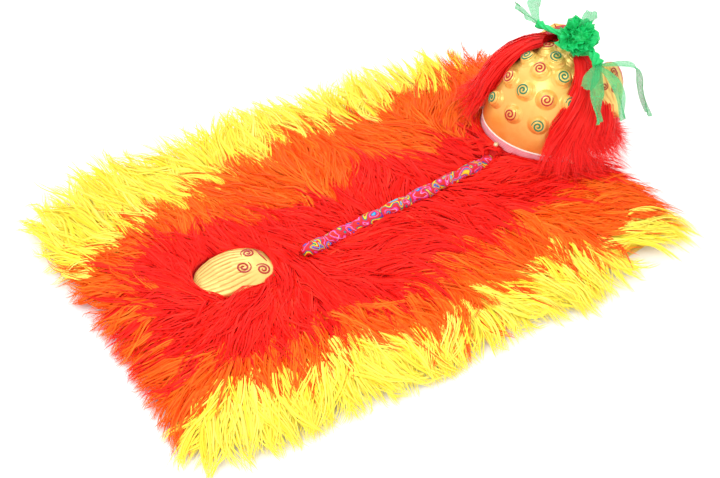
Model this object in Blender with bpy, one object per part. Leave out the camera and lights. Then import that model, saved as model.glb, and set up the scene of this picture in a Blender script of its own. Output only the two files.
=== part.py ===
"""A lion dance head lying on its fur cape, in metres with Z up.

X runs along the middle of the cape from its tail end to the head, and the origin is on the floor
under the middle of the cape. The cap has a frame of its own: an empty at the middle of its lower
rim, tilted as the cap lies on the fur. Inside that frame Z is the cap's axis, an azimuth starts
at +X, and a latitude is 0 at the brim of the dome and 90 degrees at its top.
"""

import math
from collections import namedtuple

import bmesh
import bpy
from mathutils import Matrix, Vector

# Clearances and walls
GAP = 0.0003
CLOTH_WALL = 0.003

# Cape backing
CAPE_LENGTH = 1.02
CAPE_END_HALF_WIDTH = 0.275
CAPE_MIDDLE_HALF_WIDTH = 0.315
CAPE_CORNER_RADIUS = 0.045
CAPE_EDGE_POINTS = 12
# The tail end is cut askew: towards its near corner the cape is shorter by up to this much.
TAIL_SKEW = 0.085
TAIL_SKEW_FROM = 0.29
TAIL_SKEW_OVER = 0.38

# Fur
FUR_HEIGHT = 0.058
FUR_HEM = 0.006
RED_HALF_WIDTH = 0.115
RED_PARTING_HALF_WIDTH = 0.046
ORANGE_WIDTH = 0.095
LOCK_PITCH = 0.056
LOCK_SLOPE = 0.75
LOCK_CURL = 0.008
LOCK_SHORT = 0.86
FIRST_LOCK = 1.3
END_LOCK_SLOPE = 0.45
END_LOCK_SHORT = 0.8
END_LANES = 2
# Degrees that the locks turn towards the nearer end of the cape as they flow outwards
TAIL_LEAN = -30.0
HEAD_LEAN = 22.0
TAIL_END_REACH = 0.052
HEAD_END_REACH = 0.085

# Cap
CAP_PLACE = (0.4414, 0.0447, 0.050)
CAP_TILT = 10.5
RIM_RADIUS = 0.110
BAND_HEIGHT = 0.016
BAND_WALL = 0.002
RIM_CORD_DIAMETER = 0.0036
DOME_HEIGHT = 0.160
SHELL_WALL = 0.003
ROUND_SIDES = 20
DOME_RINGS = 5
SEAT_MARGIN = 0.008
SEAT_SPREAD = 0.014
SEAT_FOOT_RISE = 0.0015

# Curls and the bosses under them
BOSS_BASE_RADIUS = 0.0175
BOSS_TOP_RADIUS = 0.0150
BOSS_HEIGHT = 0.007
BOSS_SIDES = 6
CURL_RADIUS = 0.014
CURL_HEIGHT = 0.0055
CURL_GROOVE = 0.0016
CURL_TURNS = 1.5
CURL_STEPS = 7
CURL_SPREAD = 0.9
CURL_FALL = 0.45
CURL_EDGE_HEIGHT = 0.3

# Rim beads
BEAD_RADIUS = 0.005
BEAD_AZIMUTHS = (20.0, 126.0, 191.0, 271.0)
BEAD_SIDES = 10
BEAD_RINGS = 4

# Spine
SPINE_START = (-0.118, -0.029)
SPINE_END = (0.322, 0.017)
SPINE_RADIUS = 0.0135
SPINE_WAIST_RADIUS = 0.0112
SPINE_PUFFS = 7
SPINE_SLANT = 0.006
SPINE_SIDES = 8
SPINE_SINK = 0.002
SPINE_PUFF_SHARES = (0.35, 0.65)
# The rounded ends: how far in and how thick, both in shares of the spine's radius
SPINE_ENDS = ((0.0, 0.35), (0.4, 0.8))

# Tail plate
PLATE_ROUND_END = (-0.317, -0.007)
PLATE_POINTED_END = (-0.172, -0.032)
PLATE_WIDTH = 0.105
PLATE_RISE = 0.018
PLATE_RIM = 0.003
PLATE_ACROSS = (1.0, 0.6, 0.0, -0.6, -1.0)
PLATE_CLEAR_MIDDLE = 0.5
PLATE_CLEAR_SHIFT = 0.3

# Raised scrolls and ribs on gold
SCROLL_STEPS_PER_TURN = 5
SCROLL_WIDTH = 0.0032
SCROLL_RISE = 0.0016
SCROLL_SINK = 0.0020
SCROLL_INNER_SHARE = 0.16
SCROLL_END_WIDTH = 0.6

# Ears
EAR_WIDTH = 0.076
EAR_WALL = 0.003
EAR_BEND = 0.010
EAR_END_BEND = 0.6
EAR_UPWARD = 0.6
EAR_HALF_STEPS = 2
EAR_HOLLOW = 0.020

# Hair
HAIR_LOCK_WIDTH = 0.030
HAIR_RISE = 0.011
HAIR_CLEARANCE = 0.003
HAIR_PEG_RADIUS = 0.004
HAIR_PEG_SIDES = 6
HAIR_PEG_PLACE = (6.0, 68.0)

# Green tulle
POMPON_RADIUS = 0.040
POMPON_HEIGHT = 0.060
POMPON_PETALS = 7
POMPON_NECK_RADIUS = 0.005
TULLE_WALL = 0.002
KNOT_RADIUS = 0.008
KNOT_ACROSS = -0.5
KNOT_STRIP = 0.6
# Shares of the pompon's radius, and how steeply one petal after another rises
POMPON_CORE = 0.86
PETAL_ROOT = 0.5
PETAL_END = 0.98
PETAL_TIP = 1.22
PETAL_TIP_DRIFT = 0.1
PETAL_HALF_WIDTH = 0.34
PETAL_HALF_WALL = 0.12
PETAL_RISES = (-0.12, 0.45, 0.95)

# Heights that follow the fur
LOW_PILE = 0.38 * FUR_HEIGHT
RED_PILE = 0.62 * FUR_HEIGHT
DOME_BASE = BAND_HEIGHT + RIM_CORD_DIAMETER + 2 * GAP
CAP_HEIGHT = DOME_BASE + DOME_HEIGHT

# A lock starts at a point inside the pile, swells over it and hangs over the next stripe. Widths
# across a stripe are shares of its width, heights of the fur's height, half widths of the pitch.
FurSection = namedtuple("FurSection", "across beyond bottom crest half_width")
FUR_ROOT = FurSection(across=0.08, beyond=0.0, bottom=0.25, crest=0.25, half_width=0.0)
FUR_SECTIONS = (
    FurSection(across=0.60, beyond=0.0, bottom=0.36, crest=1.00, half_width=0.64),
    FurSection(across=1.00, beyond=0.3, bottom=0.66, crest=0.92, half_width=0.44),
)

# A lock over a short end of the cape. Its places count outwards from that end, in shares of the
# corner's radius and of the lock's own reach, and its half widths are shares of a lane.
EndSection = namedtuple("EndSection", "corners reach bottom crest half_width")
END_ROOT = EndSection(corners=-2.2, reach=0.0, bottom=0.25, crest=0.25, half_width=0.0)
END_SECTIONS = (
    EndSection(corners=-0.5, reach=0.0, bottom=0.20, crest=1.00, half_width=0.46),
    EndSection(corners=0.0, reach=0.35, bottom=0.16, crest=0.72, half_width=0.40),
)
END_TIP = EndSection(corners=0.0, reach=1.0, bottom=0.22, crest=0.22, half_width=0.0)

# Lengths are in metres, and lift raises the outer end of a stripe's locks.
Stripe = namedtuple("Stripe", "node side colour reach lift tip_height")
STRIPES = (
    Stripe("fur_red", 1, "red", 0.048, 0.000, 0.058),
    Stripe("fur_red", -1, "red", 0.048, 0.000, 0.058),
    Stripe("fur_orange_far", 1, "orange", 0.048, 0.000, 0.058),
    Stripe("fur_orange_near", -1, "orange", 0.048, 0.000, 0.058),
    Stripe("fur_yellow_far", 1, "yellow", 0.115, 0.006, 0.074),
    Stripe("fur_yellow_near", -1, "yellow", 0.078, -0.020, 0.010),
)

# The plate bulges more on its far side: a section's shift moves its middle that way, in shares
# of half the plate's width, as its half width is.
PlateSection = namedtuple("PlateSection", "along half_width shift rise")
PLATE_SECTIONS = (
    PlateSection(along=0.00, half_width=0.25, shift=0.00, rise=0.10),
    PlateSection(along=0.08, half_width=0.60, shift=0.08, rise=0.55),
    PlateSection(along=0.28, half_width=0.89, shift=0.21, rise=0.96),
    PlateSection(along=0.52, half_width=1.00, shift=0.32, rise=1.00),
    PlateSection(along=0.76, half_width=0.90, shift=0.34, rise=0.72),
    PlateSection(along=0.92, half_width=0.66, shift=0.30, rise=0.34),
)

EarSection = namedtuple("EarSection", "along half_width")
EAR_SECTIONS = (
    EarSection(along=0.00, half_width=0.52),
    EarSection(along=0.12, half_width=0.88),
    EarSection(along=0.36, half_width=1.00),
    EarSection(along=0.62, half_width=0.78),
    EarSection(along=0.84, half_width=0.40),
)

# A scroll's middle is in shares of the leaf's length and half width, its radius of the length.
Scroll = namedtuple("Scroll", "along across radius start turns")
PLATE_SCROLLS = (
    Scroll(along=0.63, across=-0.16, radius=0.095, start=250.0, turns=1.6),
    Scroll(along=0.74, across=0.52, radius=0.085, start=340.0, turns=1.6),
    Scroll(along=0.85, across=-0.42, radius=0.090, start=60.0, turns=1.6),
)
EAR_SCROLLS = (
    Scroll(along=0.20, across=0.36, radius=0.085, start=30.0, turns=1.6),
    Scroll(along=0.30, across=-0.50, radius=0.060, start=200.0, turns=1.4),
    Scroll(along=0.42, across=-0.06, radius=0.060, start=120.0, turns=1.4),
)

# Places in the cap's frame: forward and sideways as shares of the rim's radius, up of the cap's
# height. Sideways is away from the middle on either side.
CapPlace = namedtuple("CapPlace", "forward sideways up")
EAR_TOP = CapPlace(forward=0.38, sideways=0.76, up=1.10)
EAR_TIP = CapPlace(forward=0.71, sideways=1.19, up=0.58)
POMPON_MIDDLE = CapPlace(forward=0.06, sideways=-0.22, up=1.24)

CurlRing = namedtuple("CurlRing", "latitude count first_azimuth first_colour")
CURL_RINGS = (
    CurlRing(latitude=21.0, count=12, first_azimuth=15.0, first_colour="red"),
    CurlRing(latitude=40.0, count=12, first_azimuth=15.0, first_colour="green"),
    CurlRing(latitude=60.0, count=8, first_azimuth=17.0, first_colour="red"),
    CurlRing(latitude=77.0, count=4, first_azimuth=33.0, first_colour="green"),
)

# Azimuths count from the side's own direction towards the front, lift is off the dome in metres.
# A side also says how much further its front locks stand off the dome.
HairLock = namedtuple("HairLock", "top_azimuth foot_azimuth lift foot_reach front")
HAIR_LOCKS = (
    HairLock(top_azimuth=10.0, foot_azimuth=34.0, lift=0.019, foot_reach=0.040, front=1.0),
    HairLock(top_azimuth=3.0, foot_azimuth=17.0, lift=0.021, foot_reach=0.050, front=0.7),
    HairLock(top_azimuth=-4.0, foot_azimuth=0.0, lift=0.024, foot_reach=0.058, front=0.3),
    HairLock(top_azimuth=-11.0, foot_azimuth=-17.0, lift=0.028, foot_reach=0.062, front=0.0),
    HairLock(top_azimuth=-18.0, foot_azimuth=-34.0, lift=0.033, foot_reach=0.066, front=0.0),
    HairLock(top_azimuth=-25.0, foot_azimuth=-51.0, lift=0.036, foot_reach=0.045, front=0.0),
)
HairStation = namedtuple("HairStation", "latitude turned lift half_width rise front")
HAIR_STATIONS = (
    HairStation(latitude=72.0, turned=0.0, lift=0.40, half_width=0.36, rise=0.4, front=0.0),
    HairStation(latitude=58.0, turned=0.3, lift=0.45, half_width=0.48, rise=1.0, front=0.5),
    HairStation(latitude=34.0, turned=0.7, lift=0.55, half_width=0.56, rise=1.0, front=1.0),
    HairStation(latitude=8.0, turned=1.0, lift=1.00, half_width=0.56, rise=1.0, front=1.0),
)
HAIR_SIDES = {"left": (1, 0.018), "right": (-1, 0.0)}

# Tulle strips as cap places, with half widths in metres and the turn of the strip about itself.
# A twist starts in the pompon and ends in its knot. A tail starts in its knot.
TulleStation = namedtuple("TulleStation", "forward sideways up half_width turn")
TulleTie = namedtuple("TulleTie", "node side twist tails")
TULLE_TIES = (
    TulleTie(
        node="tulle_tie_left",
        side=1,
        twist=(
            TulleStation(0.05, -0.05, 1.24, 0.0060, 0.0),
            TulleStation(0.00, 0.30, 1.17, 0.0045, 60.0),
            TulleStation(0.02, 0.56, 1.12, 0.0050, 120.0),
        ),
        tails=(
            (
                TulleStation(-0.16, 0.94, 1.16, 0.015, 0.0),
                TulleStation(-0.36, 1.02, 1.26, 0.010, 20.0),
            ),
            (
                TulleStation(0.06, 1.02, 1.22, 0.013, 0.0),
                TulleStation(0.22, 1.06, 1.34, 0.009, 30.0),
            ),
        ),
    ),
    TulleTie(
        node="tulle_tie_right",
        side=-1,
        twist=(
            TulleStation(0.10, 0.45, 1.22, 0.0080, 0.0),
            TulleStation(0.11, 0.62, 1.20, 0.0080, 40.0),
        ),
        tails=(
            (
                TulleStation(-0.06, 0.90, 1.05, 0.013, 0.0),
                TulleStation(-0.22, 1.00, 0.96, 0.010, 10.0),
            ),
            (
                TulleStation(-0.08, 1.16, 0.92, 0.013, 0.0),
                TulleStation(-0.03, 1.36, 0.66, 0.010, 10.0),
            ),
            (
                TulleStation(0.22, 1.22, 1.04, 0.014, 0.0),
                TulleStation(0.34, 1.52, 0.74, 0.010, 10.0),
            ),
            (
                TulleStation(0.74, 1.00, 1.14, 0.013, 0.0),
                TulleStation(1.06, 1.06, 0.86, 0.012, 0.0),
                TulleStation(1.48, 1.10, 0.50, 0.008, 0.0),
            ),
        ),
    ),
)

POMPON_LOOP = (
    TulleStation(0.06, -0.22, 1.24, 0.012, 20.0),
    TulleStation(0.08, -0.28, 1.46, 0.016, 20.0),
    TulleStation(0.08, -0.30, 1.58, 0.010, 20.0),
)

# Colours as a display shows them, from 0 to 255
Paint = namedtuple("Paint", "red green blue roughness metallic")
PAINTS = {
    "cloth": Paint(244, 214, 92, 0.90, 0.0),
    "red": Paint(246, 52, 38, 0.75, 0.0),
    "orange": Paint(253, 96, 31, 0.75, 0.0),
    "yellow": Paint(251, 232, 76, 0.75, 0.0),
    "gold": Paint(219, 186, 100, 0.35, 0.6),
    "pale_gold": Paint(244, 229, 149, 0.40, 0.4),
    "curl_red": Paint(214, 46, 40, 0.35, 0.1),
    "curl_green": Paint(10, 140, 96, 0.35, 0.1),
    "cord_white": Paint(250, 236, 222, 0.80, 0.0),
    "band_pink": Paint(240, 150, 160, 0.85, 0.0),
    "bead": Paint(222, 196, 130, 0.30, 0.5),
    "hair": Paint(245, 44, 34, 0.50, 0.0),
    "tulle": Paint(40, 200, 116, 0.85, 0.0),
    "brocade": Paint(226, 60, 58, 0.60, 0.0),
}


def linear(level):
    """A display level from 0 to 255 as linear light."""
    share = level / 255.0
    return share / 12.92 if share <= 0.04045 else ((share + 0.055) / 1.055) ** 2.4


def paint_material(name):
    """The Principled material of one kind of surface, made once."""
    if name in bpy.data.materials:
        return bpy.data.materials[name]
    paint = PAINTS[name]
    material = bpy.data.materials.new(name)
    material.use_nodes = True
    shader = material.node_tree.nodes["Principled BSDF"]
    colour = (linear(paint.red), linear(paint.green), linear(paint.blue), 1.0)
    shader.inputs["Base Color"].default_value = colour
    shader.inputs["Roughness"].default_value = paint.roughness
    shader.inputs["Metallic"].default_value = paint.metallic
    material.diffuse_color = colour
    return material


def make_object(name, shape, paint, parent=None):
    """An object from a bmesh, with every face turned outwards."""
    bmesh.ops.recalc_face_normals(shape, faces=shape.faces)
    bmesh.ops.triangulate(shape, faces=shape.faces)
    mesh = bpy.data.meshes.new(name)
    shape.to_mesh(mesh)
    shape.free()
    mesh.materials.append(paint_material(paint))
    thing = bpy.data.objects.new(name, mesh)
    bpy.context.collection.objects.link(thing)
    thing.parent = parent
    return thing


def make_helper(name, shape, parent=None):
    """An object that only another object's Boolean uses."""
    thing = make_object(name, shape, "cloth", parent)
    thing.hide_render = True
    thing.display_type = "WIRE"
    return thing


def combine(target, helper, operation):
    """Joins a helper to an object, or cuts it out of the object."""
    modifier = target.modifiers.new(helper.name, "BOOLEAN")
    modifier.operation = operation
    modifier.solver = "EXACT"
    modifier.use_self = operation == "UNION"
    modifier.object = helper


def shade_round(thing, angle=35.0):
    """Smooth shading with edges where the surface turns sharply."""
    thing.data.shade_smooth()
    thing.data.set_sharp_from_angle(angle=math.radians(angle))


def close_loop(shape, loop, point):
    """Closes a loop with a flat face, or with a fan to a point."""
    if point is None:
        shape.faces.new(loop)
        return
    corner = shape.verts.new(point)
    for i in range(len(loop)):
        shape.faces.new((loop[i], loop[(i + 1) % len(loop)], corner))


def add_loft(shape, sections, tip=None, root=None):
    """Adds one closed body through loops of points. Each end is a flat face or a point."""
    loops = [[shape.verts.new(point) for point in section] for section in sections]
    close_loop(shape, loops[0][::-1], root)
    for near, far in zip(loops, loops[1:]):
        for i in range(len(near)):
            j = (i + 1) % len(near)
            shape.faces.new((near[i], near[j], far[j], far[i]))
    close_loop(shape, loops[-1], tip)


def add_prism(shape, outline, low, high):
    """Adds a closed plate of a flat outline between two heights."""
    add_loft(shape, [[(x, y, z) for x, y in outline] for z in (low, high)])


def turn(azimuth):
    """The flat direction of an azimuth in degrees."""
    return Vector((math.cos(math.radians(azimuth)), math.sin(math.radians(azimuth)), 0.0))


def mix(start, end, share):
    """A number or vector between two others."""
    return start + (end - start) * share


def cap_matrix():
    """The cap's frame as a matrix."""
    return Matrix.Translation(CAP_PLACE) @ Matrix.Rotation(math.radians(CAP_TILT), 4, "Y")


def cap_point(place, side):
    """A place in the cap's frame as a point there, on the far side (1) or the near one (-1)."""
    return Vector(
        (place.forward * RIM_RADIUS, side * place.sideways * RIM_RADIUS, place.up * CAP_HEIGHT)
    )


def dome_point(azimuth, latitude, lift=0.0):
    """A point on the dome or lifted off it, in the cap's frame."""
    low = math.cos(math.radians(latitude))
    high = math.sin(math.radians(latitude))
    return (
        turn(azimuth) * RIM_RADIUS * low
        + Vector((0.0, 0.0, DOME_BASE + DOME_HEIGHT * high))
        + dome_normal(azimuth, latitude) * lift
    )


def dome_normal(azimuth, latitude):
    """The direction straight out of the dome."""
    low = math.cos(math.radians(latitude)) / RIM_RADIUS
    high = math.sin(math.radians(latitude)) / DOME_HEIGHT
    return (turn(azimuth) * low + Vector((0.0, 0.0, high))).normalized()


def cape_edge(x, inset):
    """Half the width of the cape at a place along it, less an inset, with rounded corners."""
    share = 2.0 * x / CAPE_LENGTH
    half_width = mix(CAPE_MIDDLE_HALF_WIDTH, CAPE_END_HALF_WIDTH, share**2)
    from_end = CAPE_LENGTH / 2 - inset - abs(x)
    reach = min(max(CAPE_CORNER_RADIUS - from_end, 0.0), CAPE_CORNER_RADIUS)
    corner = CAPE_CORNER_RADIUS - math.sqrt(CAPE_CORNER_RADIUS**2 - reach**2)
    return half_width - inset - corner


def cape_stations(inset):
    """Places along the cape, closer together towards its rounded corners."""
    end = CAPE_LENGTH / 2 - inset
    return [
        -end * math.cos(math.pi * i / CAPE_EDGE_POINTS) for i in range(CAPE_EDGE_POINTS + 1)
    ]


def skew_tail(piece):
    """Draws a piece of the cape in towards its near tail corner."""
    for vertex in piece.data.vertices:
        along = min(1.0, max(0.0, -vertex.co.x / (CAPE_LENGTH / 2)))
        across = min(1.0, max(0.0, (TAIL_SKEW_FROM - vertex.co.y) / TAIL_SKEW_OVER))
        vertex.co.x += TAIL_SKEW * along * across
    return piece


def build_backing():
    """The cloth under the fur."""
    far = [(x, cape_edge(x, 0.0)) for x in cape_stations(0.0)]
    near = [(x, -y) for x, y in reversed(far)]
    shape = bmesh.new()
    add_prism(shape, far + near, 0.0, CLOTH_WALL)
    skew_tail(make_object("cape_backing", shape, "cloth"))


def stripe_bounds(colour, x):
    """Where a stripe of fur starts and ends across the cape."""
    orange_end = RED_HALF_WIDTH + ORANGE_WIDTH
    if colour == "red":
        return RED_PARTING_HALF_WIDTH - GAP, RED_HALF_WIDTH - GAP
    if colour == "orange":
        return RED_HALF_WIDTH + GAP, orange_end - GAP
    return orange_end + GAP, cape_edge(x, FUR_HEM)


def stripe_slab(shape, stripe):
    """The dense pile close to the cloth, below the locks."""
    low = CLOTH_WALL + GAP
    end = CAPE_LENGTH / 2 - FUR_HEM
    if stripe.colour == "red":
        edge = RED_HALF_WIDTH - GAP
        section = (
            (-edge, low),
            (edge, low),
            (edge, LOW_PILE),
            (RED_PARTING_HALF_WIDTH, RED_PILE),
            (-RED_PARTING_HALF_WIDTH, RED_PILE),
            (-edge, LOW_PILE),
        )
        add_loft(shape, [[(x, y, z) for y, z in section] for x in (-end, end)])
        return
    inner = stripe_bounds(stripe.colour, 0.0)[0]
    outer_line = [(x, stripe_bounds(stripe.colour, x)[1]) for x in cape_stations(FUR_HEM)]
    if stripe.colour == "orange":
        outer_line = [outer_line[0], outer_line[-1]]
    outline = [(-end, inner)] + outer_line + [(end, inner)]
    add_prism(shape, [(x, stripe.side * y) for x, y in outline], low, LOW_PILE)


def fur_section(middle, along, half_width, bottom, crest):
    """The three corners of a lock: two at its foot and one on its crest."""
    across = Vector((-along.y, along.x, 0.0)).normalized() * half_width
    foot = Vector((middle.x, middle.y, bottom))
    return [foot - across, foot + across, Vector((middle.x, middle.y, crest))]


def side_lock(stripe, x, index):
    """A lock that flows out from the spine over the next stripe: its root, sections and tip."""
    inner, outer = stripe_bounds(stripe.colour, x)
    lean = math.tan(math.radians(mix(TAIL_LEAN, HEAD_LEAN, 0.5 + x / CAPE_LENGTH)))
    reach = stripe.reach * (LOCK_SHORT if index % 2 else 1.0)
    curl = LOCK_CURL if index % 3 else -LOCK_CURL

    def place(row):
        across = mix(inner, outer, row.across) + row.beyond * reach
        return Vector((x + lean * (across - inner), stripe.side * across, row.bottom * FUR_HEIGHT))

    root = place(FUR_ROOT)
    middles = [place(row) for row in FUR_SECTIONS]
    middles[0].x += curl
    tip_row = FUR_ROOT._replace(across=1.0, beyond=1.0)
    tip = place(tip_row) - Vector((curl, 0.0, 0.0))
    tip.z = stripe.tip_height
    lifts = (0.0, stripe.lift)
    sections = []
    for row, middle, lift, before, after in zip(
        FUR_SECTIONS, middles, lifts, [root] + middles, middles[1:] + [tip]
    ):
        half_width = row.half_width * LOCK_PITCH
        crest = row.crest * FUR_HEIGHT + lift
        if stripe.colour != "red":
            crest = min(crest, LOW_PILE + LOCK_SLOPE * (abs(middle.y) - inner))
        sections.append(
            fur_section(middle, after - before, half_width, middle.z + lift, crest)
        )
    return root, sections, tip


def end_lock(stripe, lane, end):
    """A lock that flows out over the tail end (-1) or the head end (1) of a stripe."""
    inner, outer = stripe_bounds(stripe.colour, end * (CAPE_LENGTH / 2 - CAPE_CORNER_RADIUS))
    if stripe.colour == "red":
        inner = 0.0
    pitch = (outer - inner) / END_LANES
    across = inner + pitch * (lane + 0.5)
    shorter = (lane + end) % 2
    reach = TAIL_END_REACH if end < 0 else HEAD_END_REACH
    reach *= END_LOCK_SHORT if shorter else 1.0
    height = FUR_HEIGHT
    if stripe.colour != "red":
        height = min(height, LOW_PILE + END_LOCK_SLOPE * (across - inner))

    def place(row):
        outward = CAPE_LENGTH / 2 + row.corners * CAPE_CORNER_RADIUS + row.reach * reach
        return Vector((end * outward, stripe.side * across, row.bottom * FUR_HEIGHT))

    along = Vector((end, 0.0, 0.0))
    sections = []
    for row in END_SECTIONS:
        middle = place(row)
        half_width = row.half_width * pitch
        sections.append(fur_section(middle, along, half_width, middle.z, row.crest * height))
    curl = LOCK_CURL if shorter else -LOCK_CURL
    return place(END_ROOT), sections, place(END_TIP) + Vector((0.0, curl, 0.0))


def keeps_clear(stripe, root, sections, tip):
    """Whether a lock stays out of the cap's seat and away from the tail plate."""
    seat = Vector(CAP_PLACE[:2])
    seat_radius = RIM_RADIUS + SEAT_MARGIN + SEAT_SPREAD
    plate_start = Vector(PLATE_ROUND_END)
    plate_end = Vector(PLATE_POINTED_END)
    plate_long = (plate_end - plate_start).normalized()
    plate_side = Vector((-plate_long.y, plate_long.x))
    plate_middle = mix(plate_start, plate_end, PLATE_CLEAR_MIDDLE)
    plate_middle += plate_side * (PLATE_CLEAR_SHIFT * PLATE_WIDTH / 2)
    for point in [corner for section in sections for corner in section] + [root, tip]:
        if (point.xy - seat).length < seat_radius:
            return False
        offset = point.xy - plate_middle
        along = offset.dot(plate_long) / ((plate_end - plate_start).length / 2 + SEAT_MARGIN)
        across = offset.cross(plate_long) / (PLATE_WIDTH / 2 + SEAT_MARGIN)
        if stripe.colour == "red" and along**2 + across**2 < 1.0:
            return False
    return True


def stripe_locks(stripe):
    """Every lock of one stripe on one side of the cape."""
    reach = CAPE_LENGTH / 2 - FIRST_LOCK * CAPE_CORNER_RADIUS
    count = round(2 * reach / LOCK_PITCH)
    locks = []
    for index in range(count + 1):
        x = mix(-reach, reach, index / count)
        locks.append(side_lock(stripe, x, index))
    for end in (-1, 1):
        for lane in range(END_LANES):
            locks.append(end_lock(stripe, lane, end))
    return [lock for lock in locks if keeps_clear(stripe, *lock)]


def seat_mound():
    """The fur pressed up round the cap's rim: its top is the plane the rim lies on."""
    frame = cap_matrix()
    top_radius = RIM_RADIUS + SEAT_MARGIN
    low_radius = top_radius + SEAT_SPREAD
    azimuths = [360.0 * i / ROUND_SIDES for i in range(ROUND_SIDES)]
    middle = Vector((CAP_PLACE[0], CAP_PLACE[1], LOW_PILE + SEAT_FOOT_RISE))
    low = [middle + turn(azimuth) * low_radius for azimuth in azimuths]
    top = [frame @ (turn(azimuth) * top_radius - Vector((0, 0, GAP))) for azimuth in azimuths]
    shape = bmesh.new()
    add_loft(shape, [low, top])
    return shape


def spine_axis():
    """The start of the spine's middle line, its direction and its length."""
    height = RED_PILE + SPINE_RADIUS - SPINE_SINK
    start = Vector((*SPINE_START, height))
    end = Vector((*SPINE_END, height))
    return start, (end - start).normalized(), (end - start).length


def spine_loop(along, radius, slant, clearance=0.0):
    """A round loop of the spine, leaning along it by a slant."""
    start, direction, _ = spine_axis()
    side = Vector((-direction.y, direction.x, 0.0))
    loop = []
    for i in range(SPINE_SIDES):
        angle = 2 * math.pi * i / SPINE_SIDES
        shift = slant * math.sin(angle)
        ring = side * math.cos(angle) + Vector((0.0, 0.0, math.sin(angle)))
        loop.append(start + direction * (along + shift) + ring * (radius + clearance))
    return loop


def build_fur():
    """The five stripes of fur, each one solid of pile and locks."""
    by_node = {}
    for stripe in STRIPES:
        by_node.setdefault(stripe.node, []).append(stripe)
    for node, stripes in by_node.items():
        slab = bmesh.new()
        stripe_slab(slab, stripes[0])
        fur = make_object(node, slab, stripes[0].colour)
        locks = bmesh.new()
        for stripe in stripes:
            for root, sections, tip in stripe_locks(stripe):
                add_loft(locks, sections, tip, root)
        combine(skew_tail(fur), skew_tail(make_helper(node + ".locks", locks)), "UNION")
        if stripes[0].colour == "red":
            combine(fur, make_helper(node + ".seat", seat_mound()), "UNION")
            combine(fur, make_helper(node + ".groove", spine_groove()), "DIFFERENCE")


def spine_groove():
    """The hollow that the spine has pressed into the fur."""
    clearance = 2 * GAP
    places = (-clearance, spine_axis()[2] + clearance)
    shape = bmesh.new()
    add_loft(shape, [spine_loop(place, SPINE_RADIUS, 0.0, clearance) for place in places])
    return shape


def build_spine():
    """The stuffed brocade tube: puffs between slanting gathers."""
    length = spine_axis()[2]
    puff = (length - 2 * SPINE_RADIUS) / SPINE_PUFFS
    loops = []
    for inwards, thickness in SPINE_ENDS:
        loops.append(spine_loop(inwards * SPINE_RADIUS, thickness * SPINE_RADIUS, 0.0))
    for i in range(SPINE_PUFFS):
        at = SPINE_RADIUS + puff * i
        slant = SPINE_SLANT if 0 < i else 0.0
        loops.append(spine_loop(at, SPINE_WAIST_RADIUS, slant))
        for share in SPINE_PUFF_SHARES:
            loops.append(spine_loop(at + share * puff, SPINE_RADIUS, SPINE_SLANT))
    loops.append(spine_loop(length - SPINE_RADIUS, SPINE_WAIST_RADIUS, 0.0))
    for inwards, thickness in reversed(SPINE_ENDS):
        loops.append(spine_loop(length - inwards * SPINE_RADIUS, thickness * SPINE_RADIUS, 0.0))
    shape = bmesh.new()
    add_loft(shape, loops)
    shade_round(make_object("spine", shape, "brocade"), 50.0)


def add_scroll(shape, scroll, length, surface):
    """Adds a raised spiral line on a surface, which gives a point and its normal for a place."""
    steps = max(4, round(SCROLL_STEPS_PER_TURN * scroll.turns))
    radius = scroll.radius * length
    middle = Vector((scroll.along * length, scroll.across))
    sections = []
    for i in range(steps + 1):
        share = i / steps
        angle = math.radians(scroll.start + 360.0 * scroll.turns * share)
        reach = radius * mix(SCROLL_INNER_SHARE, 1.0, share)
        half_width = 0.5 * SCROLL_WIDTH * mix(1.0, SCROLL_END_WIDTH, abs(2 * share - 1))
        outward = Vector((math.cos(angle), math.sin(angle)))
        corners = (
            (-half_width, -SCROLL_SINK),
            (half_width, -SCROLL_SINK),
            (0.0, SCROLL_RISE),
        )
        section = []
        for offset, height in corners:
            point, normal = surface(middle, outward * (reach + offset))
            section.append(point + normal * height)
        sections.append(section)
    add_loft(shape, sections)


def blend_rows(rows, along):
    """The row of a table at a place between two of its rows."""
    last = rows[0]
    for row in rows[1:]:
        if along <= row.along:
            share = max(0.0, (along - last.along) / (row.along - last.along))
            return type(row)(*(mix(a, b, share) for a, b in zip(last, row)))
        last = row
    share = min(1.0, (along - last.along) / (1.0 - last.along))
    return type(last)(*(mix(value, 0.0, share) for value in last))


def plate_frame():
    """The start, direction, sideways direction and length of the tail plate."""
    height = RED_PILE + GAP
    start = Vector((*PLATE_ROUND_END, height))
    end = Vector((*PLATE_POINTED_END, height))
    direction = (end - start).normalized()
    return start, direction, Vector((-direction.y, direction.x, 0.0)), (end - start).length


def plate_height(row, across):
    """How high the plate stands above its seat, for a share of its half width."""
    return PLATE_RIM + (PLATE_RISE - PLATE_RIM) * row.rise * max(0.0, 1.0 - across**2)


def plate_surface(middle, offset):
    """The plate's top at an offset from a scroll's middle."""
    start, direction, side, length = plate_frame()
    row = blend_rows(PLATE_SECTIONS, middle.x / length)
    along = middle.x + offset.x
    across = (row.shift + middle.y * row.half_width) * PLATE_WIDTH / 2 + offset.y
    here = blend_rows(PLATE_SECTIONS, along / length)
    share = (across / (PLATE_WIDTH / 2) - here.shift) / here.half_width
    point = start + direction * along + side * across
    return point + Vector((0, 0, plate_height(here, share))), Vector((0.0, 0.0, 1.0))


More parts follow.
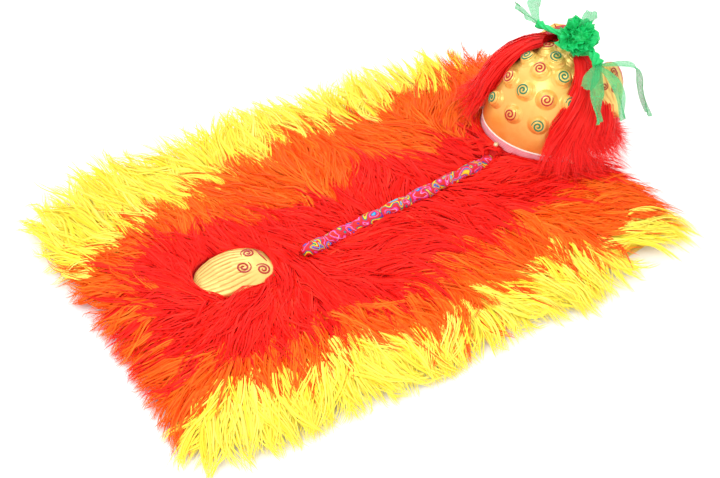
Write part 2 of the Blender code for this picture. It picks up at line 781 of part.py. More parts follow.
def build_plate():
    """The domed gold plate on the tail, with its raised scrolls."""
    start, direction, side, length = plate_frame()
    loops = []
    for row in PLATE_SECTIONS:
        half_width = row.half_width * PLATE_WIDTH / 2
        middle = start + direction * (row.along * length) + side * (row.shift * PLATE_WIDTH / 2)
        loop = [middle - side * half_width, middle + side * half_width]
        for across in PLATE_ACROSS:
            height = plate_height(row, across)
            loop.append(middle + side * (across * half_width) + Vector((0, 0, height)))
        loops.append(loop)
    shape = bmesh.new()
    tip = start + direction * length + Vector((0, 0, PLATE_RIM / 2))
    add_loft(shape, loops, tip)
    plate = make_object("tail_plate", shape, "pale_gold")
    scrolls = bmesh.new()
    for scroll in PLATE_SCROLLS:
        add_scroll(scrolls, scroll, length, plate_surface)
    combine(plate, make_helper("tail_plate.scrolls", scrolls), "UNION")


def dome_shape(lift, base):
    """A closed dome as a bmesh, lifted off the outer surface and reaching down to a base."""
    loops = []
    floor = []
    for i in range(ROUND_SIDES):
        edge = turn(360.0 * i / ROUND_SIDES) * (RIM_RADIUS + lift)
        floor.append(edge + Vector((0.0, 0.0, base)))
    loops.append(floor)
    for ring in range(DOME_RINGS):
        latitude = 90.0 * ring / DOME_RINGS
        loops.append(
            [dome_point(360.0 * i / ROUND_SIDES, latitude, lift) for i in range(ROUND_SIDES)]
        )
    if base >= DOME_BASE:
        loops = loops[1:]
    shape = bmesh.new()
    add_loft(shape, loops, dome_point(0.0, 90.0, lift))
    return shape


def curl_places():
    """Each curl's azimuth, latitude and colour."""
    colours = ("red", "green")
    for ring in CURL_RINGS:
        first = colours.index(ring.first_colour)
        for i in range(ring.count):
            azimuth = ring.first_azimuth + 360.0 * i / ring.count
            yield azimuth, ring.latitude, colours[(first + i) % 2]


def curl_matrix(azimuth, latitude, lift):
    """The frame of a boss or curl: its Z is straight out of the dome."""
    normal = dome_normal(azimuth, latitude)
    return Matrix.Translation(dome_point(azimuth, latitude, lift)) @ (
        normal.to_track_quat("Z", "Y").to_matrix().to_4x4()
    )


def build_shell(cap):
    """The hollow gold dome and the bosses that carry the curls."""
    shell = make_object("skull_shell", dome_shape(0.0, DOME_BASE), "gold", cap)
    bosses = bmesh.new()
    for azimuth, latitude, _ in curl_places():
        bmesh.ops.create_cone(
            bosses,
            cap_ends=True,
            segments=BOSS_SIDES,
            radius1=BOSS_BASE_RADIUS,
            radius2=BOSS_TOP_RADIUS,
            depth=2 * BOSS_HEIGHT,
            matrix=curl_matrix(azimuth, latitude, 0.0),
        )
    combine(shell, make_helper("skull_shell.bosses", bosses, cap), "UNION")
    hollow = dome_shape(-SHELL_WALL, DOME_BASE - SHELL_WALL)
    combine(shell, make_helper("skull_shell.hollow", hollow, cap), "DIFFERENCE")
    shade_round(shell)


def curl_height(radius, depth):
    """The top of a curl, which rises towards its middle."""
    return CURL_HEIGHT * (1.0 - CURL_FALL * (radius / CURL_RADIUS) ** 2) - depth


def curl_mesh(name, paint):
    """A snail curl: a round button whose top winds inwards as one raised spiral."""
    shape = bmesh.new()
    steps = round(CURL_STEPS * CURL_TURNS)
    pitch = CURL_SPREAD * CURL_RADIUS / (CURL_TURNS + 0.5)

    def place(index, radius, height):
        return shape.verts.new(turn(360.0 * index / CURL_STEPS) * radius + Vector((0, 0, height)))

    middle = place(0, 0.0, curl_height(0.0, 0.0))
    crest = [middle]
    for i in range(1, steps + 1):
        radius = pitch * i / CURL_STEPS
        crest.append(place(i, radius, curl_height(radius, 0.0)))
    valley = []
    for i in range(steps + 1):
        radius = pitch * (i / CURL_STEPS + 0.5)
        valley.append(place(i, radius, curl_height(radius, CURL_GROOVE)))
    edge_height = CURL_EDGE_HEIGHT * CURL_HEIGHT
    rim = [place(i, CURL_RADIUS, edge_height) for i in range(CURL_STEPS)]
    foot = [place(i, CURL_RADIUS, 0.0) for i in range(CURL_STEPS)]
    faces = [(middle, crest[1], valley[1], valley[0]), (middle, valley[0], crest[CURL_STEPS])]
    for i in range(1, steps):
        faces.append((crest[i], crest[i + 1], valley[i + 1], valley[i]))
    for i in range(1, CURL_STEPS):
        faces.append((middle, crest[i + 1], crest[i]))
    first_outer = steps - CURL_STEPS
    for i in range(first_outer):
        faces.append((valley[i], valley[i + 1], crest[i + 1 + CURL_STEPS], crest[i + CURL_STEPS]))
    for i in range(first_outer, steps):
        near, far = i % CURL_STEPS, (i + 1) % CURL_STEPS
        faces.append((valley[i], valley[i + 1], rim[far], rim[near]))
        faces.append((rim[near], rim[far], foot[far], foot[near]))
    seam = rim[steps % CURL_STEPS]
    faces.append((valley[first_outer], crest[steps], valley[steps]))
    faces.append((valley[first_outer], valley[steps], seam))
    faces.append(foot)
    for face in faces:
        shape.faces.new(face)
    bmesh.ops.recalc_face_normals(shape, faces=shape.faces)
    bmesh.ops.triangulate(shape, faces=shape.faces)
    mesh = bpy.data.meshes.new(name)
    shape.to_mesh(mesh)
    shape.free()
    mesh.materials.append(paint_material(paint))
    return mesh


def build_curls(cap):
    """Every curl on its boss, red and green in turn."""
    meshes = {colour: curl_mesh("curl_" + colour, "curl_" + colour) for colour in ("red", "green")}
    for index, (azimuth, latitude, colour) in enumerate(curl_places()):
        curl = bpy.data.objects.new(f"curl_{index + 1:02d}", meshes[colour])
        bpy.context.collection.objects.link(curl)
        curl.parent = cap
        curl.matrix_local = curl_matrix(azimuth, latitude, BOSS_HEIGHT + GAP)


def ring_loft(shape, section):
    """Adds a closed ring whose section turns round the cap's axis."""
    loops = []
    for i in range(ROUND_SIDES):
        direction = turn(360.0 * i / ROUND_SIDES)
        loops.append(
            [shape.verts.new(direction * radius + Vector((0, 0, z))) for radius, z in section]
        )
    for i, near in enumerate(loops):
        far = loops[(i + 1) % ROUND_SIDES]
        for j in range(len(section)):
            k = (j + 1) % len(section)
            shape.faces.new((near[j], near[k], far[k], far[j]))


def build_rim(cap):
    """The elastic band, the piping above it and the beads on its lower edge."""
    band = bmesh.new()
    inner = RIM_RADIUS - BAND_WALL
    band_section = (
        (inner, 0.0),
        (RIM_RADIUS, 0.0),
        (RIM_RADIUS, BAND_HEIGHT),
        (inner, BAND_HEIGHT),
    )
    ring_loft(band, band_section)
    shade_round(make_object("rim_band", band, "band_pink", cap))
    cord = bmesh.new()
    half = RIM_CORD_DIAMETER / 2
    middle = RIM_RADIUS - half / 2
    height = BAND_HEIGHT + GAP + half
    cord_section = (
        (middle - half, height),
        (middle, height - half),
        (middle + half, height),
        (middle, height + half),
    )
    ring_loft(cord, cord_section)
    shade_round(make_object("rim_cord", cord, "cord_white", cap), 100.0)
    for index, azimuth in enumerate(BEAD_AZIMUTHS):
        bead = bmesh.new()
        reach = RIM_RADIUS + GAP + BEAD_RADIUS
        place = turn(azimuth) * reach + Vector((0, 0, BEAD_RADIUS + GAP))
        bmesh.ops.create_uvsphere(
            bead,
            u_segments=BEAD_SIDES,
            v_segments=BEAD_RINGS,
            radius=BEAD_RADIUS,
            matrix=Matrix.Translation(place),
        )
        shade_round(make_object(f"rim_bead_{index + 1}", bead, "bead", cap), 100.0)


def ear_frame(side):
    """The top, direction, sideways direction, normal and length of an ear."""
    top = cap_point(EAR_TOP, side)
    tip = cap_point(EAR_TIP, side)
    direction = (tip - top).normalized()
    outward = Vector((0.0, side, EAR_UPWARD))
    normal = (outward - direction * outward.dot(direction)).normalized()
    return top, direction, direction.cross(normal) * side, normal, (tip - top).length


def ear_point(frame, along, across, row, depth):
    """A point of an ear: across is a share of its half width, depth is below its face."""
    top, direction, sideways, normal, length = frame
    bend = EAR_BEND * (across**2 + (2 * along - 1) ** 2 * EAR_END_BEND)
    reach = across * row.half_width * EAR_WIDTH / 2
    return top + direction * (along * length) + sideways * reach - normal * (bend + depth)


def ear_leaf(frame, above, below):
    """A closed leaf of the ear's outline, from above its face to below it."""
    steps = [step / EAR_HALF_STEPS for step in range(-EAR_HALF_STEPS, EAR_HALF_STEPS + 1)]
    loops = []
    for row in EAR_SECTIONS:
        face = [ear_point(frame, row.along, step, row, -above) for step in steps]
        back = [ear_point(frame, row.along, step, row, below) for step in reversed(steps)]
        loops.append(face + back)
    tip_row = EarSection(along=1.0, half_width=0.0)
    shape = bmesh.new()
    add_loft(shape, loops, ear_point(frame, 1.0, 0.0, tip_row, (below - above) / 2))
    return shape


def build_ear(name, side, cap):
    """A gold leaf that hangs over the hair at one side."""
    frame = ear_frame(side)
    length = frame[4]
    ear = make_object(name, ear_leaf(frame, 0.0, EAR_WALL), "pale_gold", cap)

    def surface(middle, offset):
        row = blend_rows(EAR_SECTIONS, middle.x / length)
        along = (middle.x + offset.x) / length
        here = blend_rows(EAR_SECTIONS, along)
        reach = middle.y * row.half_width * EAR_WIDTH / 2 + offset.y
        across = reach / (here.half_width * EAR_WIDTH / 2)
        return ear_point(frame, along, across, here, 0.0), frame[3]

    scrolls = bmesh.new()
    for scroll in EAR_SCROLLS:
        add_scroll(scrolls, scroll, length, surface)
    combine(ear, make_helper(name + ".scrolls", scrolls, cap), "UNION")


def hair_lock(lock, side, front_lift):
    """One long lock of hair from the top of the dome down to the fur, as sections and a tip."""
    sections = []
    clear_of_curls = BOSS_HEIGHT + CURL_HEIGHT + HAIR_CLEARANCE
    extra = front_lift * lock.front
    for station in HAIR_STATIONS:
        offset = mix(lock.top_azimuth, lock.foot_azimuth, station.turned)
        azimuth = side * (90.0 + offset)
        lift = max(lock.lift * station.lift, clear_of_curls) + extra * station.front
        middle = dome_point(azimuth, station.latitude, lift)
        across = turn(azimuth + 90.0) * (station.half_width * HAIR_LOCK_WIDTH)
        rise = dome_normal(azimuth, station.latitude) * (station.rise * HAIR_RISE)
        sections.append([middle - across, middle + across, middle + rise])
    azimuth = side * (90.0 + lock.foot_azimuth)
    foot = turn(azimuth) * (RIM_RADIUS + lock.lift + extra + lock.foot_reach)
    tip = cap_matrix() @ foot
    tip.z = FUR_HEIGHT + 2 * HAIR_PEG_RADIUS
    return sections, cap_matrix().inverted() @ tip


def build_hair(name, side, front_lift, cap):
    """The long hair at one side, its locks held by a peg between the curls."""
    shape = bmesh.new()
    azimuth = side * (90.0 - HAIR_PEG_PLACE[0])
    bmesh.ops.create_cone(
        shape,
        cap_ends=True,
        segments=HAIR_PEG_SIDES,
        radius1=HAIR_PEG_RADIUS,
        radius2=HAIR_PEG_RADIUS,
        depth=2 * (BOSS_HEIGHT + CURL_HEIGHT + HAIR_RISE),
        matrix=curl_matrix(azimuth, HAIR_PEG_PLACE[1], 0.0),
    )
    hair = make_object(name, shape, "hair", cap)
    locks = bmesh.new()
    for lock in HAIR_LOCKS:
        sections, tip = hair_lock(lock, side, front_lift)
        add_loft(locks, sections, tip)
    combine(hair, make_helper(name + ".locks", locks, cap), "UNION")
    clearance = dome_shape(GAP, -RIM_RADIUS)
    combine(hair, make_helper(name + ".clearance", clearance, cap), "DIFFERENCE")
    hollow = ear_leaf(ear_frame(side), EAR_HOLLOW, EAR_WALL + GAP)
    combine(hair, make_helper(name + ".ear_hollow", hollow, cap), "DIFFERENCE")


def build_pompon(cap):
    """The gathered tulle on top: a core with petals, a loop and the neck that it is sewn on by."""
    middle = cap_point(POMPON_MIDDLE, 1)
    shape = bmesh.new()
    squash = Matrix.Diagonal((1.0, 1.0, POMPON_HEIGHT / (2 * POMPON_RADIUS), 1.0))
    bmesh.ops.create_icosphere(
        shape,
        subdivisions=1,
        radius=POMPON_CORE * POMPON_RADIUS,
        matrix=Matrix.Translation(middle) @ squash,
    )
    pompon = make_object("pompon", shape, "tulle", cap)
    petals = bmesh.new()
    for i in range(POMPON_PETALS):
        azimuth = 360.0 * i / POMPON_PETALS
        rise = PETAL_RISES[i % len(PETAL_RISES)]
        outward = (turn(azimuth) + Vector((0, 0, rise))).normalized()
        across = turn(azimuth + 90.0)
        up = outward.cross(across) * (PETAL_HALF_WALL * POMPON_RADIUS)
        wide = across * (PETAL_HALF_WIDTH * POMPON_RADIUS)
        sections = []
        for share in (PETAL_ROOT, PETAL_END):
            point = middle + squash @ (outward * (share * POMPON_RADIUS))
            sections.append([point - wide, point + up, point + wide, point - up])
        tip = middle + squash @ (outward * (PETAL_TIP * POMPON_RADIUS))
        add_loft(petals, sections, tip + across * (PETAL_TIP_DRIFT * POMPON_RADIUS))
    add_tulle(petals, [cap_point(station, 1) for station in POMPON_LOOP], POMPON_LOOP)
    neck = [turn(360.0 * i / POMPON_PETALS) * POMPON_NECK_RADIUS for i in range(POMPON_PETALS)]
    levels = (CAP_HEIGHT + GAP, middle.z)
    add_loft(petals, [[point + Vector((0, 0, level)) for point in neck] for level in levels])
    combine(pompon, make_helper("pompon.petals", petals, cap), "UNION")
    for tie in TULLE_TIES:
        channel = bmesh.new()
        twist_strip(channel, tie, GAP)
        combine(pompon, make_helper(tie.node + ".channel", channel, cap), "DIFFERENCE")


def add_tulle(shape, points, stations, clearance=0.0):
    """Adds a strip of tulle through points, with the widths and turns of its stations."""
    sections = []
    for i, station in enumerate(stations):
        along = (points[min(i + 1, len(points) - 1)] - points[max(i - 1, 0)]).normalized()
        level = along.cross(Vector((0, 0, 1))).normalized()
        level = Matrix.Rotation(math.radians(station.turn), 3, along) @ level
        up = level.cross(along) * (TULLE_WALL / 2 + clearance)
        wide = level * (station.half_width + clearance)
        low, high = points[i] - up, points[i] + up
        sections.append([low - wide, low + wide, high + wide, high - wide])
    add_loft(shape, sections)


def knot_point(side):
    """The middle of a tie's knot, which lies on the front top corner of its ear."""
    row = EAR_SECTIONS[1]
    above = -(KNOT_RADIUS + GAP)
    return ear_point(ear_frame(side), row.along, KNOT_ACROSS, row, above)


def twist_strip(shape, tie, clearance=0.0):
    """Adds the twisted strip between the pompon and the knot of a tie."""
    end = tie.twist[-1]._replace(half_width=KNOT_STRIP * KNOT_RADIUS)
    points = [cap_point(station, tie.side) for station in tie.twist] + [knot_point(tie.side)]
    add_tulle(shape, points, tie.twist + (end,), clearance)


def build_tie(tie, cap):
    """The twisted strip of tulle from the pompon to an ear, its knot and its loose ends."""
    place = knot_point(tie.side)
    knot = bmesh.new()
    bmesh.ops.create_icosphere(
        knot, subdivisions=1, radius=KNOT_RADIUS, matrix=Matrix.Translation(place)
    )
    body = make_object(tie.node, knot, "tulle", cap)
    strips = bmesh.new()
    twist_strip(strips, tie)
    for tail in tie.tails:
        root = tail[0]._replace(half_width=KNOT_STRIP * KNOT_RADIUS)
        points = [place] + [cap_point(station, tie.side) for station in tail]
        add_tulle(strips, points, (root,) + tail)
    combine(body, make_helper(tie.node + ".strips", strips, cap), "UNION")


def build():
    """The whole object."""
    for thing in list(bpy.data.objects):
        bpy.data.objects.remove(thing)
    cap = bpy.data.objects.new("cap_frame", None)
    bpy.context.collection.objects.link(cap)
    cap.matrix_world = cap_matrix()
    build_backing()
    build_fur()
    build_spine()
    build_plate()
    build_shell(cap)
    build_curls(cap)
    build_rim(cap)
    for word, (side, front_lift) in HAIR_SIDES.items():
        build_ear("ear_" + word, side, cap)
        build_hair("hair_" + word, side, front_lift, cap)
    for tie in TULLE_TIES:
        build_tie(tie, cap)
    build_pompon(cap)


build()
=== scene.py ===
# %% [markdown]
# # A lion dance head on its fur cape
# This lesson dresses a plain model of a lion dance costume: a gold skull cap with painted curls,
# long red hair, two leaf ears and a green tulle pompon, lying on a cape of long red, orange and
# yellow fur. The plain model is the frame. It says where everything is, and each piece made here
# stands in for one of its parts or gives it a finish.

import math
from collections import namedtuple

import bpy
import numpy as np
from mathutils import Matrix, Vector


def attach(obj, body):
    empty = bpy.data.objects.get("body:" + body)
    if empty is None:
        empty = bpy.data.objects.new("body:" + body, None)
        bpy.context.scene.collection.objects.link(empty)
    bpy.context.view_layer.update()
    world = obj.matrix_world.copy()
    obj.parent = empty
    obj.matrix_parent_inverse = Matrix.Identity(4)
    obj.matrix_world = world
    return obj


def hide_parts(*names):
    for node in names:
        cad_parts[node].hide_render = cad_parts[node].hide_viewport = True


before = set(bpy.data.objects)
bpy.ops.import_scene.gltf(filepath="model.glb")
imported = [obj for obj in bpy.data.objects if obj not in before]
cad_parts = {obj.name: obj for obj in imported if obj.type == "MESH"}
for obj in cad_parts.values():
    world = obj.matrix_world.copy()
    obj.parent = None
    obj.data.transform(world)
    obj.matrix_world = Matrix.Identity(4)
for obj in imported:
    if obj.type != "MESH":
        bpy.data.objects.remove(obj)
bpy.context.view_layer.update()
print("frame parts:", len(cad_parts))

# %% [markdown]
# The camera comes first, because every later choice is judged through it. It stands above the
# tail end of the cape and looks down over the fur to the cap, with a lens a little longer than
# the eye's.

# %% Camera
CAMERA_PLACE = (-0.5875, -1.0875, 1.278)
CAMERA_TURN = (44.0, 0.0, -29.01)
CAMERA_LENS = 47.5

bpy.ops.object.select_all(action="DESELECT")
bpy.ops.object.camera_add(
    location=CAMERA_PLACE, rotation=[math.radians(angle) for angle in CAMERA_TURN]
)
camera = bpy.context.object
camera.name = "camera"
camera.data.lens = CAMERA_LENS
camera.data.sensor_width = 36.0
camera.data.clip_end = 50.0
bpy.context.scene.camera = camera
print("camera lens:", camera.data.lens)

# %% [markdown]
# Bright fur loses its strength in a film-like view, so the scene uses the standard one, where a
# full red stays a full red. Light comes from a white sky and three large soft lamps, as in a
# small photo tent.

# %% Light
bpy.context.scene.view_settings.view_transform = "Standard"
world = bpy.data.worlds.new("studio_sky")
world.use_nodes = True
world.node_tree.nodes["Background"].inputs["Color"].default_value = (1.0, 0.99, 0.98, 1.0)
world.node_tree.nodes["Background"].inputs["Strength"].default_value = 1.0
bpy.context.scene.world = world

Lamp = namedtuple("Lamp", "name place aim size power")
LAMPS = (
    Lamp("lamp_key", (-0.9, -0.6, 2.0), (0.1, 0.0, 0.1), 1.2, 22.0),
    Lamp("lamp_fill", (1.6, -1.4, 1.6), (0.2, 0.0, 0.1), 1.4, 12.0),
    Lamp("lamp_back", (0.6, 1.8, 1.5), (0.2, 0.0, 0.1), 1.2, 12.0),
)
for lamp in LAMPS:
    bpy.ops.object.light_add(type="AREA", location=lamp.place)
    light = bpy.context.object
    light.name = lamp.name
    light.data.size = lamp.size
    light.data.energy = lamp.power
    aim = Vector(lamp.aim) - Vector(lamp.place)
    light.rotation_euler = aim.to_track_quat("-Z", "Y").to_euler()
print("lamps:", len(LAMPS))

# %% [markdown]
# Materials are built from nodes, but a long sum is hard to read as boxes and wires. This small
# class wraps the output of a node, so that `a * 2 + b` adds the two Math nodes by itself.


# %% Sums on sockets
class Value:
    """The output of a node, used as a number."""

    def __init__(self, finish, socket):
        self.finish = finish
        self.socket = socket

    def sum(self, operation, *others):
        inputs = dict(enumerate((self,) + others))
        return self.finish.add("Math", {"operation": operation}, inputs)

    def __add__(self, other):
        return self.sum("ADD", other)

    def __mul__(self, other):
        return self.sum("MULTIPLY", other)

    def __sub__(self, other):
        return self.sum("SUBTRACT", other)

    def clamp(self):
        """The number held between 0 and 1."""
        return self.sum("MINIMUM", 1.0).sum("MAXIMUM", 0.0)

    def wave(self):
        """The sine of the number."""
        return self.sum("SINE")


# %% [markdown]
# A finish is one material: a Principled shader and the nodes that vary its colour, roughness and
# small relief. One method adds every kind of node, sets what the node is, and then plugs numbers
# or other nodes into its sockets.


# %% Finishes
def tint(red, green, blue):
    """A colour as a display shows it, from 0 to 255, in linear light."""
    shares = [level / 255.0 for level in (red, green, blue)]
    return [s / 12.92 if s <= 0.04045 else ((s + 0.055) / 1.055) ** 2.4 for s in shares] + [1.0]


class Finish:
    """A material under construction."""

    def __init__(self, name, colour, roughness, metallic=0.0, **settings):
        self.material = bpy.data.materials.new(name)
        self.material.use_nodes = True
        self.tree = self.material.node_tree
        self.shader = self.tree.nodes["Principled BSDF"]
        self.set("Base Color", tint(*colour))
        self.set("Roughness", roughness)
        self.set("Metallic", metallic)
        for socket, value in settings.items():
            self.set(socket.replace("_", " "), value)

    def plug(self, socket, value):
        if isinstance(value, Value):
            self.tree.links.new(value.socket, socket)
        else:
            socket.default_value = value

    def set(self, name, value):
        self.plug(self.shader.inputs[name], value)
        return self

    def add(self, kind, settings=None, inputs=None, output=0):
        """A node by its kind, its settings and what goes into its sockets."""
        node = self.tree.nodes.new("ShaderNode" + kind)
        for key, value in (settings or {}).items():
            if key == "stops":
                while len(node.color_ramp.elements) < len(value):
                    node.color_ramp.elements.new(0.5)
                for stop, (place, colour) in zip(node.color_ramp.elements, value):
                    stop.position = place
                    stop.color = tint(*colour)
            elif key == "interpolation":
                node.color_ramp.interpolation = value
            else:
                setattr(node, key, value)
        for key, value in (inputs or {}).items():
            self.plug(node.inputs[key], value)
        return Value(self, node.outputs[output])

    def place(self):
        """The point on the piece, in metres."""
        return self.add("TexCoord", output=3)

    def axes(self, vector=None):
        """The three numbers of a point."""
        split = self.add("SeparateXYZ", inputs={0: vector or self.place()})
        return [Value(self, socket) for socket in split.socket.node.outputs]

    def noise(self, scale, detail=2.0, vector=None, distortion=0.0):
        """Soft random patches between 0 and 1."""
        inputs = {"Vector": vector or self.place(), "Scale": scale, "Detail": detail}
        return self.add("TexNoise", inputs=inputs | {"Distortion": distortion})

    def mark(self, name):
        """A number stored on the mesh."""
        return self.add("Attribute", {"attribute_name": name}, output=2)

    def blend(self, share, first, second):
        """A colour between two others."""
        inputs = {0: share}
        for index, colour in ((6, first), (7, second)):
            inputs[index] = colour if isinstance(colour, Value) else tint(*colour)
        return self.add("Mix", {"data_type": "RGBA"}, inputs, output=2)

    def colour(self, share, first, second):
        """Lets the piece's colour wander between two others."""
        return self.set("Base Color", self.blend(share, first, second))

    def ramp(self, share, *stops, interpolation="LINEAR"):
        """A colour looked up along a row of stops."""
        settings = {"interpolation": interpolation, "stops": stops}
        return self.add("ValToRGB", settings, {0: share})

    def relief(self, height, depth):
        """Small bumps, with their depth in metres."""
        inputs = {"Height": height, "Distance": depth, "Strength": 1.0}
        return self.set("Normal", self.add("Bump", inputs=inputs))


print("levels 255 and 128 as light:", tint(255, 128, 0)[:2])

# %% [markdown]
# The floor is a sheet of plain white paper. It belongs to the photo tent and not to the costume.

# %% Floor
paper = Finish("white_paper", (250, 250, 250), 0.9)
paper.colour(paper.noise(3.0), (250, 250, 250), (253, 253, 253))
bpy.ops.mesh.primitive_plane_add(size=12.0, location=(0.0, 0.0, -0.0005))
floor = bpy.context.object
floor.name = "floor"
floor.data.materials.append(paper.material)
print("floor side:", round(floor.dimensions.x, 2))

# %% [markdown]
# A few habits keep the modelling tidy. Operators work on whatever is selected, so one helper
# picks a single object first. Another finishes a piece: it gets its materials and smooth shading,
# its place goes into its mesh, and it is tied to the frame.


# %% Modelling helpers
def pick(piece):
    """Makes a piece the only one selected."""
    bpy.ops.object.select_all(action="DESELECT")
    piece.select_set(True)
    bpy.context.view_layer.objects.active = piece
    return piece


def in_edit_mode(piece, *steps):
    """Selects the whole mesh and runs operators on it."""
    pick(piece)
    bpy.ops.object.mode_set(mode="EDIT")
    for step, settings in steps:
        bpy.ops.mesh.select_all(action="SELECT")
        getattr(bpy.ops.mesh, step)(**settings)
    bpy.ops.object.mode_set(mode="OBJECT")
    return piece


def points_of(piece):
    """The mesh's points as rows of x, y and z."""
    rows = np.empty(len(piece.data.vertices) * 3)
    piece.data.vertices.foreach_get("co", rows)
    return rows.reshape(-1, 3)


def move_points(piece, rows):
    """Puts the mesh's points at new places."""
    piece.data.vertices.foreach_set("co", np.asarray(rows, float).ravel())
    piece.data.update()


def modify(piece, kind, **settings):
    """Adds a modifier and applies it."""
    pick(piece)
    modifier = piece.modifiers.new("step", kind)
    for key, value in settings.items():
        setattr(modifier, key, value)
    bpy.ops.object.modifier_apply(modifier=modifier.name)
    return piece


def join(name, pieces):
    """Several pieces as one mesh."""
    pick(pieces[0])
    for piece in pieces:
        piece.select_set(True)
    if len(pieces) > 1:
        bpy.ops.object.join()
    pieces[0].name = name
    return pieces[0]


def placed(name, data):
    """A new piece that shows this mesh or curve."""
    piece = bpy.data.objects.new(name, data)
    bpy.context.collection.objects.link(piece)
    return piece


def flat_grid(name, columns, lanes):
    """A flat grid from -1 to 1 both ways, to be bent into shape."""
    bpy.ops.object.select_all(action="DESELECT")
    bpy.ops.mesh.primitive_grid_add(x_subdivisions=columns, y_subdivisions=lanes, size=2.0)
    bpy.context.object.name = name
    return bpy.context.object


def copy_of(piece):
    """A second piece with a mesh of its own."""
    twin = piece.copy()
    twin.data = piece.data.copy()
    bpy.context.collection.objects.link(twin)
    return twin


def complete(piece, finishes, slot, stands_for, angle=40.0):
    """The last step of every piece."""
    pick(piece)
    bpy.ops.object.transform_apply(location=True, rotation=True, scale=True)
    if finishes:
        piece.data.materials.clear()
        for finish in finishes:
            piece.data.materials.append(finish.material)
    if angle is not None:
        bpy.ops.object.shade_smooth_by_angle(angle=math.radians(angle))
    piece.data.name = piece.name
    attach(piece, "root")
    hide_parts(*stands_for)
    return piece


TIDY = (
    ("remove_doubles", {"threshold": 1e-6}),
    ("delete_loose", {"use_verts": True, "use_edges": True}),
    ("normals_make_consistent", {"inside": False}),
)
print("tidying steps:", [step for step, _ in TIDY])

# %% [markdown]
# ## The cape
# The cape is a barrel-shaped cloth whose tail end is cut askew. These functions say where its edge
# is and how high the top of the fur lies over every place, and the whole coat is built from them.

# %% The cape's measures
CAPE_LENGTH = 1.02
CAPE_END_HALF_WIDTH = 0.275
CAPE_MIDDLE_HALF_WIDTH = 0.315
CAPE_CORNER = 0.045
CLOTH = 0.003
SPINE_START = np.array((-0.118, -0.029))
SPINE_END = np.array((0.322, 0.017))
CAP_PLACE = (0.4414, 0.0447, 0.050)
CAP_TILT = 10.5
RIM_RADIUS = 0.110
TAIL_SKEW = 0.085
SKEW_FROM = 0.29
SKEW_OVER = 0.38

# Height of the fur's top at places across and along the cape
ACROSS = ((-0.42, 0.006), (-0.36, 0.016), (-0.31, 0.034), (-0.21, 0.050), (0.0, 0.050))
ACROSS += ((0.22, 0.050), (0.31, 0.054), (0.44, 0.072))
ALONG = ((-0.58, 0.22), (-0.51, 0.66), (-0.43, 1.0), (0.44, 1.0), (0.52, 0.82), (0.63, 0.34))


def cape_half_width(x):
    """Half the width of the cloth at a place along it."""
    share = 2.0 * np.asarray(x) / CAPE_LENGTH
    width = CAPE_MIDDLE_HALF_WIDTH + (CAPE_END_HALF_WIDTH - CAPE_MIDDLE_HALF_WIDTH) * share**2
    reach = np.clip(CAPE_CORNER - (CAPE_LENGTH / 2 - np.abs(x)), 0.0, CAPE_CORNER)
    return width - (CAPE_CORNER - np.sqrt(CAPE_CORNER**2 - reach**2))


def table(value, rows):
    """A value looked up between the rows of a table."""
    places, heights = zip(*rows)
    return np.interp(value, places, heights)


def skew_share(y):
    """How much of the skew there is across the cape: all of it on the near side."""
    return np.clip((SKEW_FROM - y) / SKEW_OVER, 0.0, 1.0)


def skewed(x, y):
    """The tail end is cut askew, so places are drawn in towards its near corner."""
    return x + TAIL_SKEW * skew_share(y) * np.clip(-x / (CAPE_LENGTH / 2), 0.0, 1.0)


def unskewed(x, y):
    """The other way round."""
    return np.where(x < 0.0, x / (1.0 - TAIL_SKEW * skew_share(y) / (CAPE_LENGTH / 2)), x)


def rim_plane(x):
    """The height of the plane that the cap's rim lies in."""
    return CAP_PLACE[2] - math.tan(math.radians(CAP_TILT)) * (x - CAP_PLACE[0])


def nearness(x, y, reach, fade):
    """1 close to the cap's rim, fading to 0 at this reach outside it."""
    away = np.hypot(x - CAP_PLACE[0], y - CAP_PLACE[1])
    return np.clip((RIM_RADIUS + reach - away) / fade, 0.0, 1.0)


def fur_top(x, y):
    """The height of the fur's top. Round the cap it comes up to the rim."""
    height = table(y, ACROSS) * table(unskewed(x, y), ALONG)
    return height + (rim_plane(x) + 0.001 - height) * nearness(x, y, 0.034, 0.026)


print("fur over the middle:", round(float(fur_top(0.0, 0.0)), 3), "m")

# %% [markdown]
# The cloth under the fur hardly shows, but a corner of it peeks out on the near side. It starts
# as a flat grid, gets the barrel outline, a gentle waviness and a wall, and a twill weave in its
# finish.

# %% Backing cloth
cloth = Finish("backing_cloth", (244, 214, 92), 0.85, Sheen_Weight=0.3)
across, along, _ = cloth.axes()
twill = ((across + along) * 5200.0).wave() * 0.5 + 0.5
cloth.colour(cloth.noise(40.0), (238, 205, 86), (250, 224, 112))
cloth.relief(twill, 0.0003)

backing = flat_grid("cape_cloth", 60, 36)
rows = points_of(backing)
rows[:, 0] *= CAPE_LENGTH / 2
rows[:, 1] *= cape_half_width(rows[:, 0])
ripple = np.sin(rows[:, 0] * 31.0 + rows[:, 1] * 17.0) * np.sin(rows[:, 1] * 23.0)
rows[:, 2] = CLOTH / 2 + 0.0006 * (1.0 + ripple)
rows[:, 0] = skewed(rows[:, 0], rows[:, 1])
move_points(backing, rows)
modify(backing, "SOLIDIFY", thickness=0.0012, offset=0.0)
complete(backing, [cloth], "backing_cloth", ["cape_backing"])

# %% [markdown]
# ## Fur
# Long fur is thousands of fine fibres that hang together in wavy locks. Blender can grow hair,
# but only a mesh can be exported, so a strand of some ten fibres is one narrow tapered ribbon,
# and its finish draws the fibres as streaks. The mesh is far too large to model by hand and is
# worked out with arrays. Three numbers are stored on it: how far along the strand a point is,
# on which edge of it, and a tone of the strand's own.


# %% Strands as ribbons
STEPS = 8
STRAND_SHAPE = np.array((0.50, 0.80, 0.96, 1.0, 0.95, 0.84, 0.66, 0.42))


